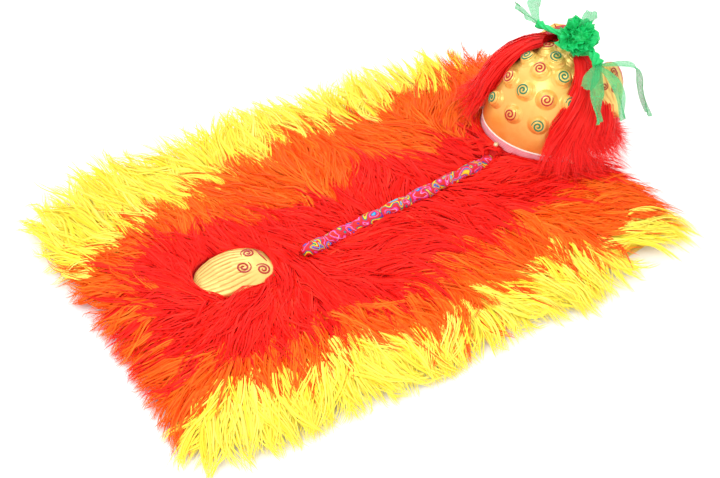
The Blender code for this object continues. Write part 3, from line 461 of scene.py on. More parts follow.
def resampled(lines, count):
    """Smooth curves through a few given points each (Catmull-Rom)."""
    first, last = 2 * lines[:, :1] - lines[:, 1:2], 2 * lines[:, -1:] - lines[:, -2:-1]
    padded = np.concatenate((first, lines, last), axis=1)
    places = np.linspace(0.0, lines.shape[1] - 1.000001, count)
    index = places.astype(int)
    t = (places - index)[:, None]
    a, b, c, d = (padded[:, index + k] for k in range(4))
    bend = (2 * a - 5 * b + 4 * c - d) * t**2 + (3 * b - a - 3 * c + d) * t**3
    return 0.5 * (2 * b + (c - a) * t + bend)


def sideways(paths):
    """Level directions square to paths."""
    ahead = np.gradient(paths, axis=1)
    side = np.cross(ahead, (0.0, 0.0, 1.0))
    return side / (np.linalg.norm(side, axis=2, keepdims=True) + 1e-9)


def ribbon_mesh(name, paths, half_widths, rolls, tones):
    """A mesh of tapered ribbons. Paths are strands by points by three numbers."""
    count = len(paths)
    ahead = np.gradient(paths, axis=1)
    ahead /= np.linalg.norm(ahead, axis=2, keepdims=True) + 1e-9
    side = sideways(paths)
    lift = np.cross(side, ahead)
    turn = rolls[:, None, None]
    wide = side * np.cos(turn) + lift * np.sin(turn)
    wide = wide[:, :-1] * (half_widths[:, None] * STRAND_SHAPE)[:, :, None]
    body = paths[:, :-1]
    pairs = np.stack((body - wide, body + wide), axis=2).reshape(count, 2 * STEPS, 3)
    points = np.concatenate((pairs, paths[:, -1:]), axis=1)
    each = 2 * STEPS + 1
    corners = [2 * i + k for i in range(STEPS - 1) for k in (0, 1, 3, 2)]
    corners = np.array(corners + [2 * STEPS - 2, 2 * STEPS - 1, 2 * STEPS])
    loops = (corners[None, :] + each * np.arange(count)[:, None]).ravel()
    sizes = np.tile([4] * (STEPS - 1) + [3], count)
    starts = np.concatenate(([0], np.cumsum(sizes)[:-1]))
    mesh = bpy.data.meshes.new(name)
    mesh.vertices.add(count * each)
    mesh.vertices.foreach_set("co", points.ravel())
    mesh.loops.add(len(loops))
    mesh.loops.foreach_set("vertex_index", loops)
    mesh.polygons.add(len(sizes))
    mesh.polygons.foreach_set("loop_start", starts)
    mesh.update(calc_edges=True)
    mesh.shade_smooth()
    shares = np.append(np.repeat(np.arange(STEPS), 2), STEPS) / STEPS
    edges = np.append(np.tile((-1.0, 1.0), STEPS), 0.0)
    marks = {"along": np.tile(shares, count), "across": np.tile(edges, count)}
    for mark, values in (marks | {"tone": np.repeat(tones, each)}).items():
        mesh.attributes.new(mark, "FLOAT", "POINT").data.foreach_set("value", values)
    return placed(name, mesh)


def fibre_finish(name, deep, middle, light, stray, roughness=0.5):
    """Dyed fibres in streaks, with painted shade at the root; no two strands quite the same."""
    finish = Finish(name, middle, roughness, Specular_IOR_Level=0.16)
    tone, along, across = (finish.mark(mark) for mark in ("tone", "along", "across"))
    lane = {0: across * 2.2 + tone * 97.0, 1: along * 1.4, 2: tone * 31.0}
    streak = finish.noise(1.6, 3.0, vector=finish.add("CombineXYZ", inputs=lane))
    share = (tone * 0.62 + streak * 0.70 - 0.16).clamp()
    body = finish.ramp(share, (0.0, deep), (0.3, middle), (0.72, light), (1.0, stray))
    # Painted shade: the colour is mostly the deep colour at the root and reaches the strand's own
    # by a fifth of its length
    finish.colour((along * 3.0 + 0.40).clamp(), deep, body)
    return finish.relief(streak, 0.00012)


# Fibre colours, from the painted shade at a root, which is also the darkest strand tone, to a stray
# bright fibre
DYES_AND_ROOT_SHADE = {
    "red": ((196, 4, 6), (240, 16, 12), (255, 40, 24), (255, 84, 40)),
    "orange": ((238, 60, 4), (255, 84, 8), (255, 116, 22), (255, 162, 44)),
    "yellow": ((250, 206, 30), (255, 230, 56), (255, 242, 104), (255, 249, 160)),
}
FURS = {dye: fibre_finish(dye + "_fibre", *shades) for dye, shades in DYES_AND_ROOT_SHADE.items()}
print("faces in a strand:", STEPS)

# %% [markdown]
# Fur has a nap, the way it lies. It is combed out from the spine, towards the tail at one end
# and towards the cap at the other, and it parts round whatever lies in it. The tables give the
# angle to the spine at eight places along the cape, in three lanes on each side of it. Eddies
# turn it a little from place to place, because combed fur never lies quite straight.

# %% The nap
PLATE_MIDDLE = np.array((-0.2418, -0.0039))
PLATE_WAY = np.array((0.145, -0.025)) / math.hypot(0.145, 0.025)
PLATE_HALF = (0.0715, 0.0495)
PLATE_SQUARENESS = 2.7
SPINE_CLEAR = 0.0095
SPINE_FROM, SPINE_TO = -0.002, 0.45
CAP_CLEAR = 0.1115
EDDY_TURN = 0.42
EDDY_SIZE = 0.050
NAP_PLACES = (-0.50, -0.38, -0.25, -0.12, 0.05, 0.25, 0.40, 0.55)
NAP_FAR = (
    (128, 126, 115, 105, 92, 100, 95, 50),
    (126, 132, 112, 112, 112, 102, 60, 35),
    (120, 125, 112, 100, 95, 102, 92, 30),
)
NAP_NEAR = (
    (170, 168, 160, 40, 25, 38, 40, 38),
    (110, 138, 120, 60, 68, 62, 38, 38),
    (80, 95, 100, 85, 88, 72, 45, 38),
)


def eddies(x, y, scale, seed):
    """A smooth random number between about -1 and 1 for each place."""
    draw = np.random.default_rng(seed)
    total = np.zeros_like(x)
    for _ in range(5):
        angle, phase, pitch = draw.uniform(0.0, (2 * math.pi, 2 * math.pi, 1.0))
        reach = (0.7 + 0.8 * pitch) / scale
        total += np.sin((x * math.cos(angle) + y * math.sin(angle)) * reach + phase)
    return total / 2.6


def spine_side(x, y):
    """How far along the spine's line a place is, and how far off to its side."""
    way = (SPINE_END - SPINE_START) / np.linalg.norm(SPINE_END - SPINE_START)
    reach = (x - SPINE_START[0]) * way[0] + (y - SPINE_START[1]) * way[1]
    off = (y - SPINE_START[1]) * way[0] - (x - SPINE_START[0]) * way[1]
    return reach, off


def combed(x, off, lanes):
    """The angle of the nap between the lanes of one side."""
    inner, middle, outer = (np.interp(x, NAP_PLACES, lane) for lane in lanes)
    angle = inner + (middle - inner) * np.clip((np.abs(off) - 0.06) / 0.12, 0.0, 1.0)
    tail = np.clip((-0.30 - x) / 0.10, 0.0, 1.0) * np.clip(1.25 - np.abs(off) / 0.10, 0.0, 1.0)
    angle = angle + (180.0 - angle) * tail
    return angle + (outer - middle) * np.clip((np.abs(off) - 0.18) / 0.12, 0.0, 1.0)


def nap(x, y, swing):
    """The way the fur lies at each place."""
    _, off = spine_side(x, y)
    angle = np.where(off > 0.0, combed(x, off, NAP_FAR), -combed(x, off, NAP_NEAR))
    angle = np.radians(angle) + EDDY_TURN * eddies(x, y, EDDY_SIZE, 3) + swing
    return np.cos(angle), np.sin(angle)


def pushed_out(dx, dy, middle, away, clear):
    """Places moved straight away from a middle until they are clear of it."""
    away = np.maximum(away, 1e-4)
    grow = np.where(away < clear, clear / away, 1.0)
    return middle[0] + dx * grow, middle[1] + dy * grow


def part_round(x, y):
    """Pushes places out of the plate, the spine and the cap."""
    dx, dy = x - PLATE_MIDDLE[0], y - PLATE_MIDDLE[1]
    u = np.abs(dx * PLATE_WAY[0] + dy * PLATE_WAY[1]) / PLATE_HALF[0]
    v = np.abs(dy * PLATE_WAY[0] - dx * PLATE_WAY[1]) / PLATE_HALF[1]
    away = (u**PLATE_SQUARENESS + v**PLATE_SQUARENESS) ** (1 / PLATE_SQUARENESS)
    x, y = pushed_out(dx, dy, PLATE_MIDDLE, away, 1.0)
    reach, off = spine_side(x, y)
    beside = (reach > SPINE_FROM) & (reach < SPINE_TO) & (np.abs(off) < SPINE_CLEAR)
    y = y + np.where(beside, np.copysign(SPINE_CLEAR, off) - off, 0.0)
    dx, dy = x - CAP_PLACE[0], y - CAP_PLACE[1]
    return pushed_out(dx, dy, CAP_PLACE, np.hypot(dx, dy), CAP_CLEAR)


def comb(x, y, swing, length):
    """Paths that start at these places and follow the nap."""
    x, y = part_round(x, y)
    xs, ys = [x], [y]
    for _ in range(STEPS):
        dx, dy = nap(x, y, swing)
        x, y = part_round(x + dx * length / STEPS, y + dy * length / STEPS)
        xs.append(x)
        ys.append(y)
    return np.stack(xs, axis=1), np.stack(ys, axis=1)


print("nap at the tail:", [round(float(v), 2) for v in nap(np.array(-0.45), np.array(0.0), 0.0)])

# %% [markdown]
# The coat is set out as a jittered grid of lock roots, red in the middle, then orange, then
# yellow, with ragged borders between them. A lock rises out of the pile, lies down on the fur's
# top in a slow wave and draws together towards its tip. It starts a little behind its root, so
# that no bare parting shows. Its strands lie over it like tiles, so that it shades as one round
# tress, and each has a small sway of its own.

# %% Locks
LOCK_SPACING = 0.0135
LOCK_OVERLAP = 0.026
STRANDS_IN_LOCK = 14
STRAND_HALF_WIDTH = 0.00100
LOCK_LAYERS = (-0.010, 0.002)
ROOT_SHARE = 0.66
RISEN_BY = 0.26
RED_START = -0.405
CURLY_SHARE, CURLY_BEND = 0.14, 2.2
STRAY_SHARE, STRAY_SWAY = 0.09, 3.2
T = np.linspace(0.0, 1.0, STEPS + 1)
RED_EDGE = {
    1: ((-0.50, 0.030), (-0.40, 0.075), (0.30, 0.085), (0.50, 0.100)),
    -1: ((-0.50, 0.10), (-0.42, 0.14), (-0.30, 0.17), (-0.10, 0.17), (0.10, 0.15), (0.50, 0.105)),
}
ORANGE_EDGE = {
    1: ((-0.50, 0.11), (-0.40, 0.155), (-0.20, 0.198), (0.0, 0.226), (0.20, 0.247), (0.45, 0.268)),
    -1: ((-0.50, 0.215), (-0.10, 0.235), (0.0, 0.250), (0.20, 0.236), (0.50, 0.235)),
}

# How far out the fringe's tips may reach
TAIL_FRINGE, HEAD_FRINGE, FAR_FRINGE, NEAR_FRINGE = 0.565, 0.605, 0.412, 0.372
SHORTEST_LOCK = 0.035

Coat = namedtuple("Coat", "length wave spread")
COATS = {
    "red": Coat(length=0.112, wave=0.0075, spread=0.0110),
    "orange": Coat(length=0.112, wave=0.0080, spread=0.0110),
    "yellow": Coat(length=0.120, wave=0.0090, spread=0.0105),
}


def edge_of(edges, x, y):
    """How far out a colour's border is, on the side that a place is on."""
    return np.where(y > 0.0, table(x, edges[1]), table(x, edges[-1]))


def lock_roots(draw):
    """Places all over the cape, in a jittered grid."""
    columns = np.arange(-CAPE_LENGTH / 2 + 0.006, CAPE_LENGTH / 2 - 0.004, LOCK_SPACING)
    lanes = np.arange(-CAPE_MIDDLE_HALF_WIDTH, CAPE_MIDDLE_HALF_WIDTH, LOCK_SPACING)
    x, y = (grid.ravel() for grid in np.meshgrid(columns, lanes))
    x = x + draw.uniform(-0.5, 0.5, x.shape) * LOCK_SPACING
    y = y + draw.uniform(-0.5, 0.5, y.shape) * LOCK_SPACING
    x = np.clip(x, -CAPE_LENGTH / 2 + 0.004, CAPE_LENGTH / 2 - 0.004)
    free = np.abs(y) < cape_half_width(x) - 0.004
    free &= np.hypot(x - CAP_PLACE[0], y - CAP_PLACE[1]) > RIM_RADIUS + 0.002
    return skewed(x, y)[free], y[free]


def colour_of(x, y, draw):
    """The stripe each lock belongs to, with ragged borders."""
    off = np.abs(y) + draw.normal(0.0, 0.011, x.shape) + 0.020 * eddies(x, y, 0.045, 11)
    tail = (x < RED_START + draw.normal(0.0, 0.025, x.shape)) & (y > -0.16)
    red = (off < edge_of(RED_EDGE, x, y)) & ~tail
    return np.where(red, "red", np.where(off < edge_of(ORANGE_EDGE, x, y), "orange", "yellow"))


def room_for(x, y, swing):
    """How long a lock may be before its tip leaves the cape's fringe."""
    dx, dy = nap(x, y, swing)
    flat = unskewed(x, y)
    ahead = np.where(dx < 0.0, flat + TAIL_FRINGE, HEAD_FRINGE - flat) / (np.abs(dx) + 0.05)
    aside = (np.where(y > 0.0, FAR_FRINGE, NEAR_FRINGE) - np.abs(y)) / (np.abs(dy) + 0.05)
    return np.maximum(np.minimum(ahead, aside), SHORTEST_LOCK)


def lock_paths(x, y, coat, draw):
    """The middle line of every lock."""
    count = len(x)
    swing = draw.normal(0.0, 0.24, count)
    length = np.minimum(coat.length * draw.uniform(0.70, 1.15, count), room_for(x, y, swing))
    xs, ys = comb(x, y, swing, length)
    dx, dy = nap(x, y, swing)
    behind = LOCK_OVERLAP * (1.0 - T) ** 2
    xs, ys = xs - dx[:, None] * behind, ys - dy[:, None] * behind
    phase = draw.uniform(0.0, 2 * math.pi, (count, 1))
    pace = draw.uniform(0.55, 1.15, (count, 1)) * 2 * math.pi
    curly = np.where(draw.random((count, 1)) < CURLY_SHARE, CURLY_BEND, 1.0)
    side = sideways(np.stack((xs, ys, 0 * xs), axis=2))
    bend = coat.wave * curly * np.sin(pace * T + phase) * T**0.7
    xs, ys = part_round(xs + side[..., 0] * bend, ys + side[..., 1] * bend)
    layer = draw.uniform(*LOCK_LAYERS, (count, 1))
    rise = np.clip(T / RISEN_BY, 0.0, 1.0)
    rise = rise * rise * (3 - 2 * rise)
    seat = nearness(xs, ys, 0.034, 0.024)
    layer = layer + (0.0035 - layer) * seat
    top = fur_top(xs, ys) + layer + 0.35 * coat.wave * np.sin(pace * T + 2.1 * phase) * T
    root = (ROOT_SHARE + 0.36 * seat[:, :1]) * fur_top(xs[:, :1], ys[:, :1])
    tip = draw.normal(-0.001, 0.003, (count, 1)) * T**3
    return np.stack((xs, ys, root + (top - root) * rise + tip), axis=2)


def fill_locks(paths, spread, count, draw, thick=0.42, sway=0.0026, parted=True):
    """The strands of every lock, laid over it like tiles, and how far each is rolled."""
    shape = (len(paths), count)
    across = draw.uniform(-1.0, 1.0, shape)
    up = np.sqrt(1.0 - across**2) * draw.uniform(-0.4, 1.0, shape)
    gather = np.interp(T, (0.0, 0.12, 0.30, 0.55, 0.8, 1.0), (0.85, 1.0, 1.0, 0.82, 0.54, 0.34))
    side = sideways(paths)
    wander = draw.normal(0.0, sway, shape)
    wander = wander * np.where(draw.random(shape) < STRAY_SHARE, STRAY_SWAY, 1.0)
    phase = draw.uniform(0.0, 2 * math.pi, shape)[:, :, None]
    out = (across * spread)[:, :, None] * gather + wander[:, :, None] * np.sin(5.6 * T + phase) * T
    strands = paths[:, None] + side[:, None] * out[..., None]
    strands[..., 2] += (up * thick * spread)[:, :, None] * gather
    base = strands[:, :, :1]
    strands = base + (strands - base) * draw.uniform(0.62, 1.0, shape)[:, :, None, None]
    if parted:
        strands[..., 0], strands[..., 1] = part_round(strands[..., 0], strands[..., 1])
    strands[..., 2] = np.maximum(strands[..., 2], 0.0012)
    rolls = -0.75 * across + draw.normal(0.0, 0.22, shape)
    return strands.reshape(-1, STEPS + 1, 3), rolls.ravel()


draw = np.random.default_rng(21)
root_x, root_y = lock_roots(draw)
root_colour = colour_of(root_x, root_y, draw)
print("locks:", len(root_x), {c: int((root_colour == c).sum()) for c in COATS})

# %% [markdown]
# Each stripe becomes one or two pieces, so that none grows too large to handle.

# %% Grow the coat
Stripe = namedtuple("Stripe", "name colour x_from x_to side node")
STRIPES = (
    Stripe("red_fur_tail", "red", -1.0, -0.06, 0, "fur_red"),
    Stripe("red_fur_head", "red", -0.06, 1.0, 0, "fur_red"),
    Stripe("orange_fur_far", "orange", -1.0, 1.0, 1, "fur_orange_far"),
    Stripe("orange_fur_near", "orange", -1.0, 1.0, -1, "fur_orange_near"),
    Stripe("yellow_fur_far", "yellow", -1.0, 1.0, 1, "fur_yellow_far"),
    Stripe("yellow_fur_near", "yellow", -1.0, 1.0, -1, "fur_yellow_near"),
)


def grow(name, lines, spread, count, width, draw, **shape):
    """A piece of fur or hair from the middle lines of its locks."""
    strands, rolls = fill_locks(lines, spread, count, draw, **shape)
    tones = np.repeat(draw.uniform(0.0, 0.5, len(lines)), count)
    tones = tones + draw.uniform(0.0, 0.5, len(strands))
    widths = width * draw.uniform(0.6, 1.35, len(strands))
    piece = ribbon_mesh(name, strands, widths, rolls, tones)
    print(name, len(strands), "strands", len(strands) * (2 * STEPS - 1), "triangles")
    return piece


for number, stripe in enumerate(STRIPES):
    draw = np.random.default_rng(100 + number)
    coat = COATS[stripe.colour]
    mine = (root_colour == stripe.colour) & (root_x >= stripe.x_from) & (root_x < stripe.x_to)
    if stripe.side:
        mine &= np.sign(root_y) == stripe.side
    paths = lock_paths(root_x[mine], root_y[mine], coat, draw)
    fur = grow(stripe.name, paths, coat.spread, STRANDS_IN_LOCK, STRAND_HALF_WIDTH, draw)
    complete(fur, [FURS[stripe.colour]], stripe.colour + "_fur", [stripe.node], angle=None)

# %% [markdown]
# The pile under the locks is one mound for each colour, darker than the locks as painted shade
# in the gaps between them. A grid is laid over the stripe, pulled up to a share of the fur's height
# and closed underneath by extruding it.

# %% Pile
PILE_SHARE = 0.62
PILE_UNDERSIDE = 0.0042
# Pile colours: from painted shade, as dark as a lock's root, up to the fur's own colour
PILE_SHADE_AND_COLOUR = {
    "red": ((196, 8, 8), (236, 20, 16)),
    "orange": ((226, 48, 6), (250, 80, 14)),
    "yellow": ((244, 190, 16), (254, 222, 44)),
}


def pile_mound(name, inner, outer, side, colour, node):
    """The dense pile of one stripe."""
    finish = Finish(name + "_pile", PILE_SHADE_AND_COLOUR[colour][1], 0.8)
    nap_noise = finish.noise(220.0, 3.0, distortion=1.5)
    finish.colour(nap_noise, *PILE_SHADE_AND_COLOUR[colour])
    finish.relief(nap_noise, 0.002)
    pile = flat_grid(name, 90, 20)
    in_edit_mode(pile, ("extrude_region_move", {"TRANSFORM_OT_translate": {"value": (0, 0, 1)}}))
    rows = points_of(pile)
    rows[:, 0] *= CAPE_LENGTH / 2 - 0.008
    edge = cape_half_width(rows[:, 0]) - 0.008
    low = np.minimum(table(rows[:, 0], inner), edge)
    high = edge if outer is None else np.minimum(table(rows[:, 0], outer), edge)
    if side:
        rows[:, 1] = side * (low + (high - low) * (rows[:, 1] + 1.0) / 2)
    else:
        rows[:, 1] = -low + (high + low) * (rows[:, 1] + 1.0) / 2
    rows[:, 0] = skewed(rows[:, 0], rows[:, 1])
    x, y, z = rows.T
    height = PILE_SHARE * fur_top(x, y) * np.clip((edge + 0.012 - np.abs(y)) / 0.02, 0.3, 1.0)
    height *= np.clip((CAPE_LENGTH / 2 + 0.006 - np.abs(unskewed(x, y))) / 0.02, 0.3, 1.0)
    height += (rim_plane(x) - 0.001 - height) * nearness(x, y, 0.022, 0.014)
    rows[:, 2] = np.where(z > 0.5, height, PILE_UNDERSIDE)
    move_points(pile, rows)
    in_edit_mode(pile, *TIDY)
    return complete(pile, [finish], colour + "_fur", [node])


pile_mound("red_pile", RED_EDGE[-1], RED_EDGE[1], 0, "red", "fur_red")
for side, word in ((1, "far"), (-1, "near")):
    red, orange = RED_EDGE[side], ORANGE_EDGE[side]
    pile_mound("orange_pile_" + word, red, orange, side, "orange", "fur_orange_" + word)
    pile_mound("yellow_pile_" + word, orange, None, side, "yellow", "fur_yellow_" + word)
print("pile height in the middle:", round(float(PILE_SHARE * fur_top(0.0, 0.0)), 3))

# %% [markdown]
# ## The spine
# A tube of brocade runs along the cape like the lion's backbone. Tubes, domes, buttons and beads
# are all round, so one helper spins a profile round an axis, and all of them use it.


# %% Spun shapes
def spun(name, profile, sides):
    """A closed shape turned round Z from a profile of radii and heights."""
    mesh = bpy.data.meshes.new(name)
    rows = [(radius, 0.0, height) for radius, height in profile]
    mesh.from_pydata(rows, [(i, i + 1) for i in range(len(rows) - 1)], [])
    spin = {"steps": sides, "angle": 2 * math.pi, "center": (0, 0, 0), "axis": (0, 0, 1)}
    return in_edit_mode(placed(name, mesh), ("spin", spin), *TIDY)


def put(piece, matrix):
    """Moves a mesh by a matrix."""
    piece.data.transform(matrix)
    piece.data.update()
    return piece


# %% [markdown]
# The backbone is stuffed, and thread wound round it pulls it in along slanting lines. A profile
# is spun into a tube, and its radius is then drawn in at each gather. The cloth's pattern is a
# noise cut into bands of colour, because its real figures are too small to read.

# %% Brocade tube
SPINE_RADIUS = 0.0135
SPINE_HEIGHT = 0.036 + SPINE_RADIUS - 0.002
GATHER_PITCH = 0.061
GATHER_SLANT = 0.014

length = float(np.linalg.norm(SPINE_END - SPINE_START))
stations = np.linspace(0.0, length, 150)
ends = np.minimum(stations, length - stations) / SPINE_RADIUS
cap_shape = np.sqrt(np.clip(1.0 - (1.0 - np.clip(ends, 0.0, 1.0)) ** 2, 0.0, 1.0))
profile = list(zip(SPINE_RADIUS * cap_shape, stations))
spine = spun("brocade_spine", profile, 40)
rows = points_of(spine)
angle = np.arctan2(rows[:, 1], rows[:, 0])
phase = (rows[:, 2] + GATHER_SLANT * np.sin(angle)) / GATHER_PITCH
beat = np.abs(np.sin(math.pi * phase))
creases = 0.035 * np.sin(9 * angle + 5 * np.sin(2 * math.pi * phase)) * (1.0 - beat) ** 2
pulled = 0.64 + 0.36 * beat**0.5 + creases
bumps = 0.02 * np.sin(3 * angle + rows[:, 2] * 90.0) * np.sin(rows[:, 2] * 150.0)
rows[:, :2] *= (pulled + bumps)[:, None]
move_points(spine, rows)

SCARLET = (224, 18, 24)
THREADS = (
    (0.0, SCARLET), (0.24, (240, 60, 170)), (0.34, (255, 170, 214)), (0.38, SCARLET),
    (0.54, (14, 70, 200)), (0.62, (40, 196, 226)), (0.68, SCARLET),
    (0.80, (255, 214, 30)), (0.88, (20, 150, 90)), (0.94, (110, 24, 160)),
)
brocade = Finish("brocade", (226, 60, 58), 0.38)
place = brocade.place()
swirl = brocade.noise(34.0, 0.2, vector=place, distortion=1.5)
bands = (swirl * 2.3).sum("FRACT")
brocade.set("Base Color", brocade.ramp(bands, *THREADS, interpolation="CONSTANT"))
x_axis, _, z_axis = brocade.axes(place)
thread = ((x_axis + z_axis) * 4200.0).wave() * ((x_axis - z_axis) * 4200.0).wave()
edges = (bands - 0.5).sum("ABSOLUTE")
brocade.relief(thread * 0.3 + edges, 0.0006)
axis = Vector((*(SPINE_END - SPINE_START), 0.0)).normalized()
basis = axis.to_track_quat("Z", "Y").to_matrix().to_4x4()
put(spine, Matrix.Translation((*SPINE_START, SPINE_HEIGHT)) @ basis)
complete(spine, [brocade], "brocade", ["spine"], angle=60.0)
print("spine length:", round(length, 3))

# %% [markdown]
# ## Gold leaves
# The tail plate and both ears are the same thing: a leaf of stiff gilded board with carved
# grooves and scrolls of raised cord. One helper lays a fine grid over a leaf's outline, raises
# it by a height function and closes its back. Another lays a scroll on it.

# %% Leaf and scroll helpers
Leaf = namedtuple("Leaf", "start way side normal length half_width outline shift height wall")


def leaf_point(leaf, along, across, lift=0.0):
    """A point on a leaf: shares of its length and of its half width there."""
    along = np.asarray(along, float)
    across = np.asarray(across, float)
    reach = (table(along, leaf.shift) + table(along, leaf.outline) * across) * leaf.half_width
    height = leaf.height(along, across) + lift
    return (
        np.asarray(leaf.start)
        + np.multiply.outer(along * leaf.length, leaf.way)
        + np.multiply.outer(reach, leaf.side)
        + np.multiply.outer(height, leaf.normal)
    )


def leaf_shares(leaf, offset):
    """How far along and across a leaf points lie."""
    along = np.clip(offset @ np.asarray(leaf.way) / leaf.length, 0.0, 1.0)
    across = offset @ np.asarray(leaf.side) / leaf.half_width - table(along, leaf.shift)
    return along, np.clip(across / table(along, leaf.outline), -1.0, 1.0)


def leaf_mesh(name, leaf, columns, lanes):
    """The leaf's face, closed at the back."""
    piece = flat_grid(name, columns, lanes)
    rows = points_of(piece)
    along = 0.5 - 0.5 * np.cos(math.pi * (rows[:, 0] + 1.0) / 2)
    across = np.sin(math.pi / 2 * rows[:, 1])
    move_points(piece, leaf_point(leaf, along, across))
    in_edit_mode(piece, *TIDY)
    face = piece.data.polygons[len(piece.data.polygons) // 2]
    offset = -1.0 if face.normal.dot(Vector(leaf.normal)) > 0 else 1.0
    return modify(piece, "SOLIDIFY", thickness=leaf.wall, offset=offset)


def tube(name, points, radii):
    """A round cord through points, made as a curve and turned into a mesh."""
    curve = bpy.data.curves.new(name, "CURVE")
    curve.dimensions = "3D"
    curve.bevel_depth = 1.0
    curve.bevel_resolution = 1
    curve.use_fill_caps = True
    spline = curve.splines.new("POLY")
    spline.points.add(len(points) - 1)
    for knot, point, radius in zip(spline.points, points, radii):
        knot.co = (*point, 1.0)
        knot.radius = radius
    pick(placed(name, curve))
    bpy.ops.object.convert(target="MESH")
    return bpy.context.object


Scroll = namedtuple("Scroll", "along across radius start turns")


def scroll_cord(leaf, scroll, thickness):
    """A spiral cord on a leaf, thinner at both ends."""
    share = np.linspace(0.0, 1.0, round(22 * scroll.turns))
    angle = np.radians(scroll.start + 360.0 * scroll.turns * share)
    reach = scroll.radius * (0.12 + 0.88 * share)
    middle = table(scroll.along, leaf.shift) + scroll.across * table(scroll.along, leaf.outline)
    along = scroll.along + reach * np.cos(angle) / leaf.length
    out = middle + reach * np.sin(angle) / leaf.half_width - table(along, leaf.shift)
    across = out / table(along, leaf.outline)
    points = leaf_point(leaf, along, across, 0.2 * thickness)
    taper = 0.45 + 3.0 * np.minimum(share, 1.0 - share)
    return tube("cord", points, thickness * np.minimum(1.0, taper))


print("leaf helpers ready")

# %% [markdown]
# The plate on the tail is domed like a shell, with fine wavy grooves that run from its round end
# and three dark red scrolls near its point. The gilding is pale on the ridges and darker and warmer
# in the grooves, as painted shade, so each point of the mesh stores how deep in a groove it lies.

# %% Tail plate
def gilding(name, pale, groove_shade):
    """Gold paint over carved board, with painted shade in its grooves and a little wear."""
    finish = Finish(name, pale, 0.36, 0.35, Coat_Weight=0.15, Coat_Roughness=0.3)
    worn = finish.noise(90.0, 4.0)
    groove = finish.mark("groove")
    # Painted shade in the grooves, mixed with random wear
    finish.colour((groove * 0.75 + worn * 0.35).clamp(), pale, groove_shade)
    finish.set("Roughness", worn * 0.22 + 0.26)
    return finish.relief(finish.noise(420.0, 3.0), 0.00025)


PLATE_OUTLINE = ((0.0, 0.02), (0.015, 0.26), (0.04, 0.43), (0.08, 0.60), (0.16, 0.76), (0.28, 0.90))
PLATE_OUTLINE += ((0.40, 0.97), (0.52, 1.0), (0.64, 0.98), (0.76, 0.90), (0.86, 0.77), (0.92, 0.64))
PLATE_OUTLINE += ((0.96, 0.46), (0.985, 0.24), (1.0, 0.02))
PLATE_SHIFT = ((0.0, 0.0), (0.08, 0.08), (0.28, 0.21), (0.52, 0.32), (0.76, 0.34), (0.92, 0.29))
PLATE_SHIFT += ((1.0, 0.02),)


def grooves(along, across, count, sway):
    """Wavy grooves that fan out from the root of a leaf: 0 on a ridge, 1 in a groove."""
    lane = across * (0.62 + 0.38 * along) + sway * np.sin(7.0 * along + 2.0 * across)
    return np.clip(np.cos(2 * math.pi * count * lane), 0.0, 1.0) ** 2


def plate_height(along, across):
    dome = 0.003 + 0.0155 * np.clip(1.0 - across**2, 0.0, 1.0) ** 0.6 * table(
        along, ((0.0, 0.1), (0.1, 0.62), (0.3, 0.98), (0.52, 1.0), (0.76, 0.74), (1.0, 0.12))
    )
    fade = np.clip(along * 9.0, 0.0, 1.0) * np.clip((0.74 - along) * 6.0, 0.0, 1.0)
    return dome - 0.0013 * fade * grooves(along, across, 7.0, 0.035)


plate_gold = gilding("plate_gilding", (246, 216, 124), (190, 118, 36))
scroll_red = Finish("scroll_paint", (176, 30, 26), 0.35, Coat_Weight=0.3)
patches = scroll_red.noise(300.0)
scroll_red.colour(patches, (150, 22, 20), (196, 44, 34))

plate = Leaf(
    start=(-0.317, -0.007, 0.0363), way=(*PLATE_WAY, 0.0), side=(-PLATE_WAY[1], PLATE_WAY[0], 0.0),
    normal=(0.0, 0.0, 1.0), length=0.1471, half_width=0.0525, outline=PLATE_OUTLINE,
    shift=PLATE_SHIFT, height=plate_height, wall=0.0025,
)
PLATE_SCROLLS = (
    Scroll(along=0.63, across=-0.16, radius=0.0138, start=40.0, turns=2.0),
    Scroll(along=0.735, across=0.52, radius=0.0125, start=200.0, turns=2.0),
    Scroll(along=0.85, across=-0.42, radius=0.0130, start=140.0, turns=2.0),
)


def mark_leaf(piece, leaf, count, sway):
    """Stores how deep in a groove each point of a leaf lies."""
    along, across = leaf_shares(leaf, points_of(piece) - np.asarray(leaf.start))
    depth = grooves(along, across, count, sway) * np.clip((0.78 - along) * 6.0, 0.0, 1.0)
    piece.data.attributes.new("groove", "FLOAT", "POINT").data.foreach_set("value", depth)


tail_plate = leaf_mesh("tail_plate_leaf", plate, 84, 64)
mark_leaf(tail_plate, plate, 7.0, 0.035)
complete(tail_plate, [plate_gold], "pale_gold_paint", ["tail_plate"])
cords = [scroll_cord(plate, scroll, 0.0017) for scroll in PLATE_SCROLLS]
stem = leaf_point(plate, [0.83, 0.86, 0.875, 0.90, 0.925], [0.86, 0.74, 0.52, 0.34, 0.10], 0.0002)
cords.append(tube("stem", stem, [0.0008, 0.0017, 0.0019, 0.0017, 0.0009]))
complete(join("tail_plate_scrolls", cords), [scroll_red], "pale_gold_paint", ["tail_plate"])
print("tail plate faces:", len(tail_plate.data.polygons))

# %% [markdown]
# ## The skull cap
# The cap is a stiff dome, open below for the head. Thirty-six rounded studs stand on it in four
# rings. It leans, so it is built upright in a frame of its own and tilted at the end. The dome
# and one stud are spun, and the stud is copied to its places. Its skirt runs out into the dome's
# wall, so the studs are simply joined to the dome, which keeps both meshes clean.

# %% Dome and studs
BAND_HEIGHT = 0.016
DOME_BASE = 0.0202
DOME_HEIGHT = 0.160
SHELL_WALL = 0.003
STUD_TOP = 0.0073
CAP = Matrix.Translation(CAP_PLACE) @ Matrix.Rotation(math.radians(CAP_TILT), 4, "Y")


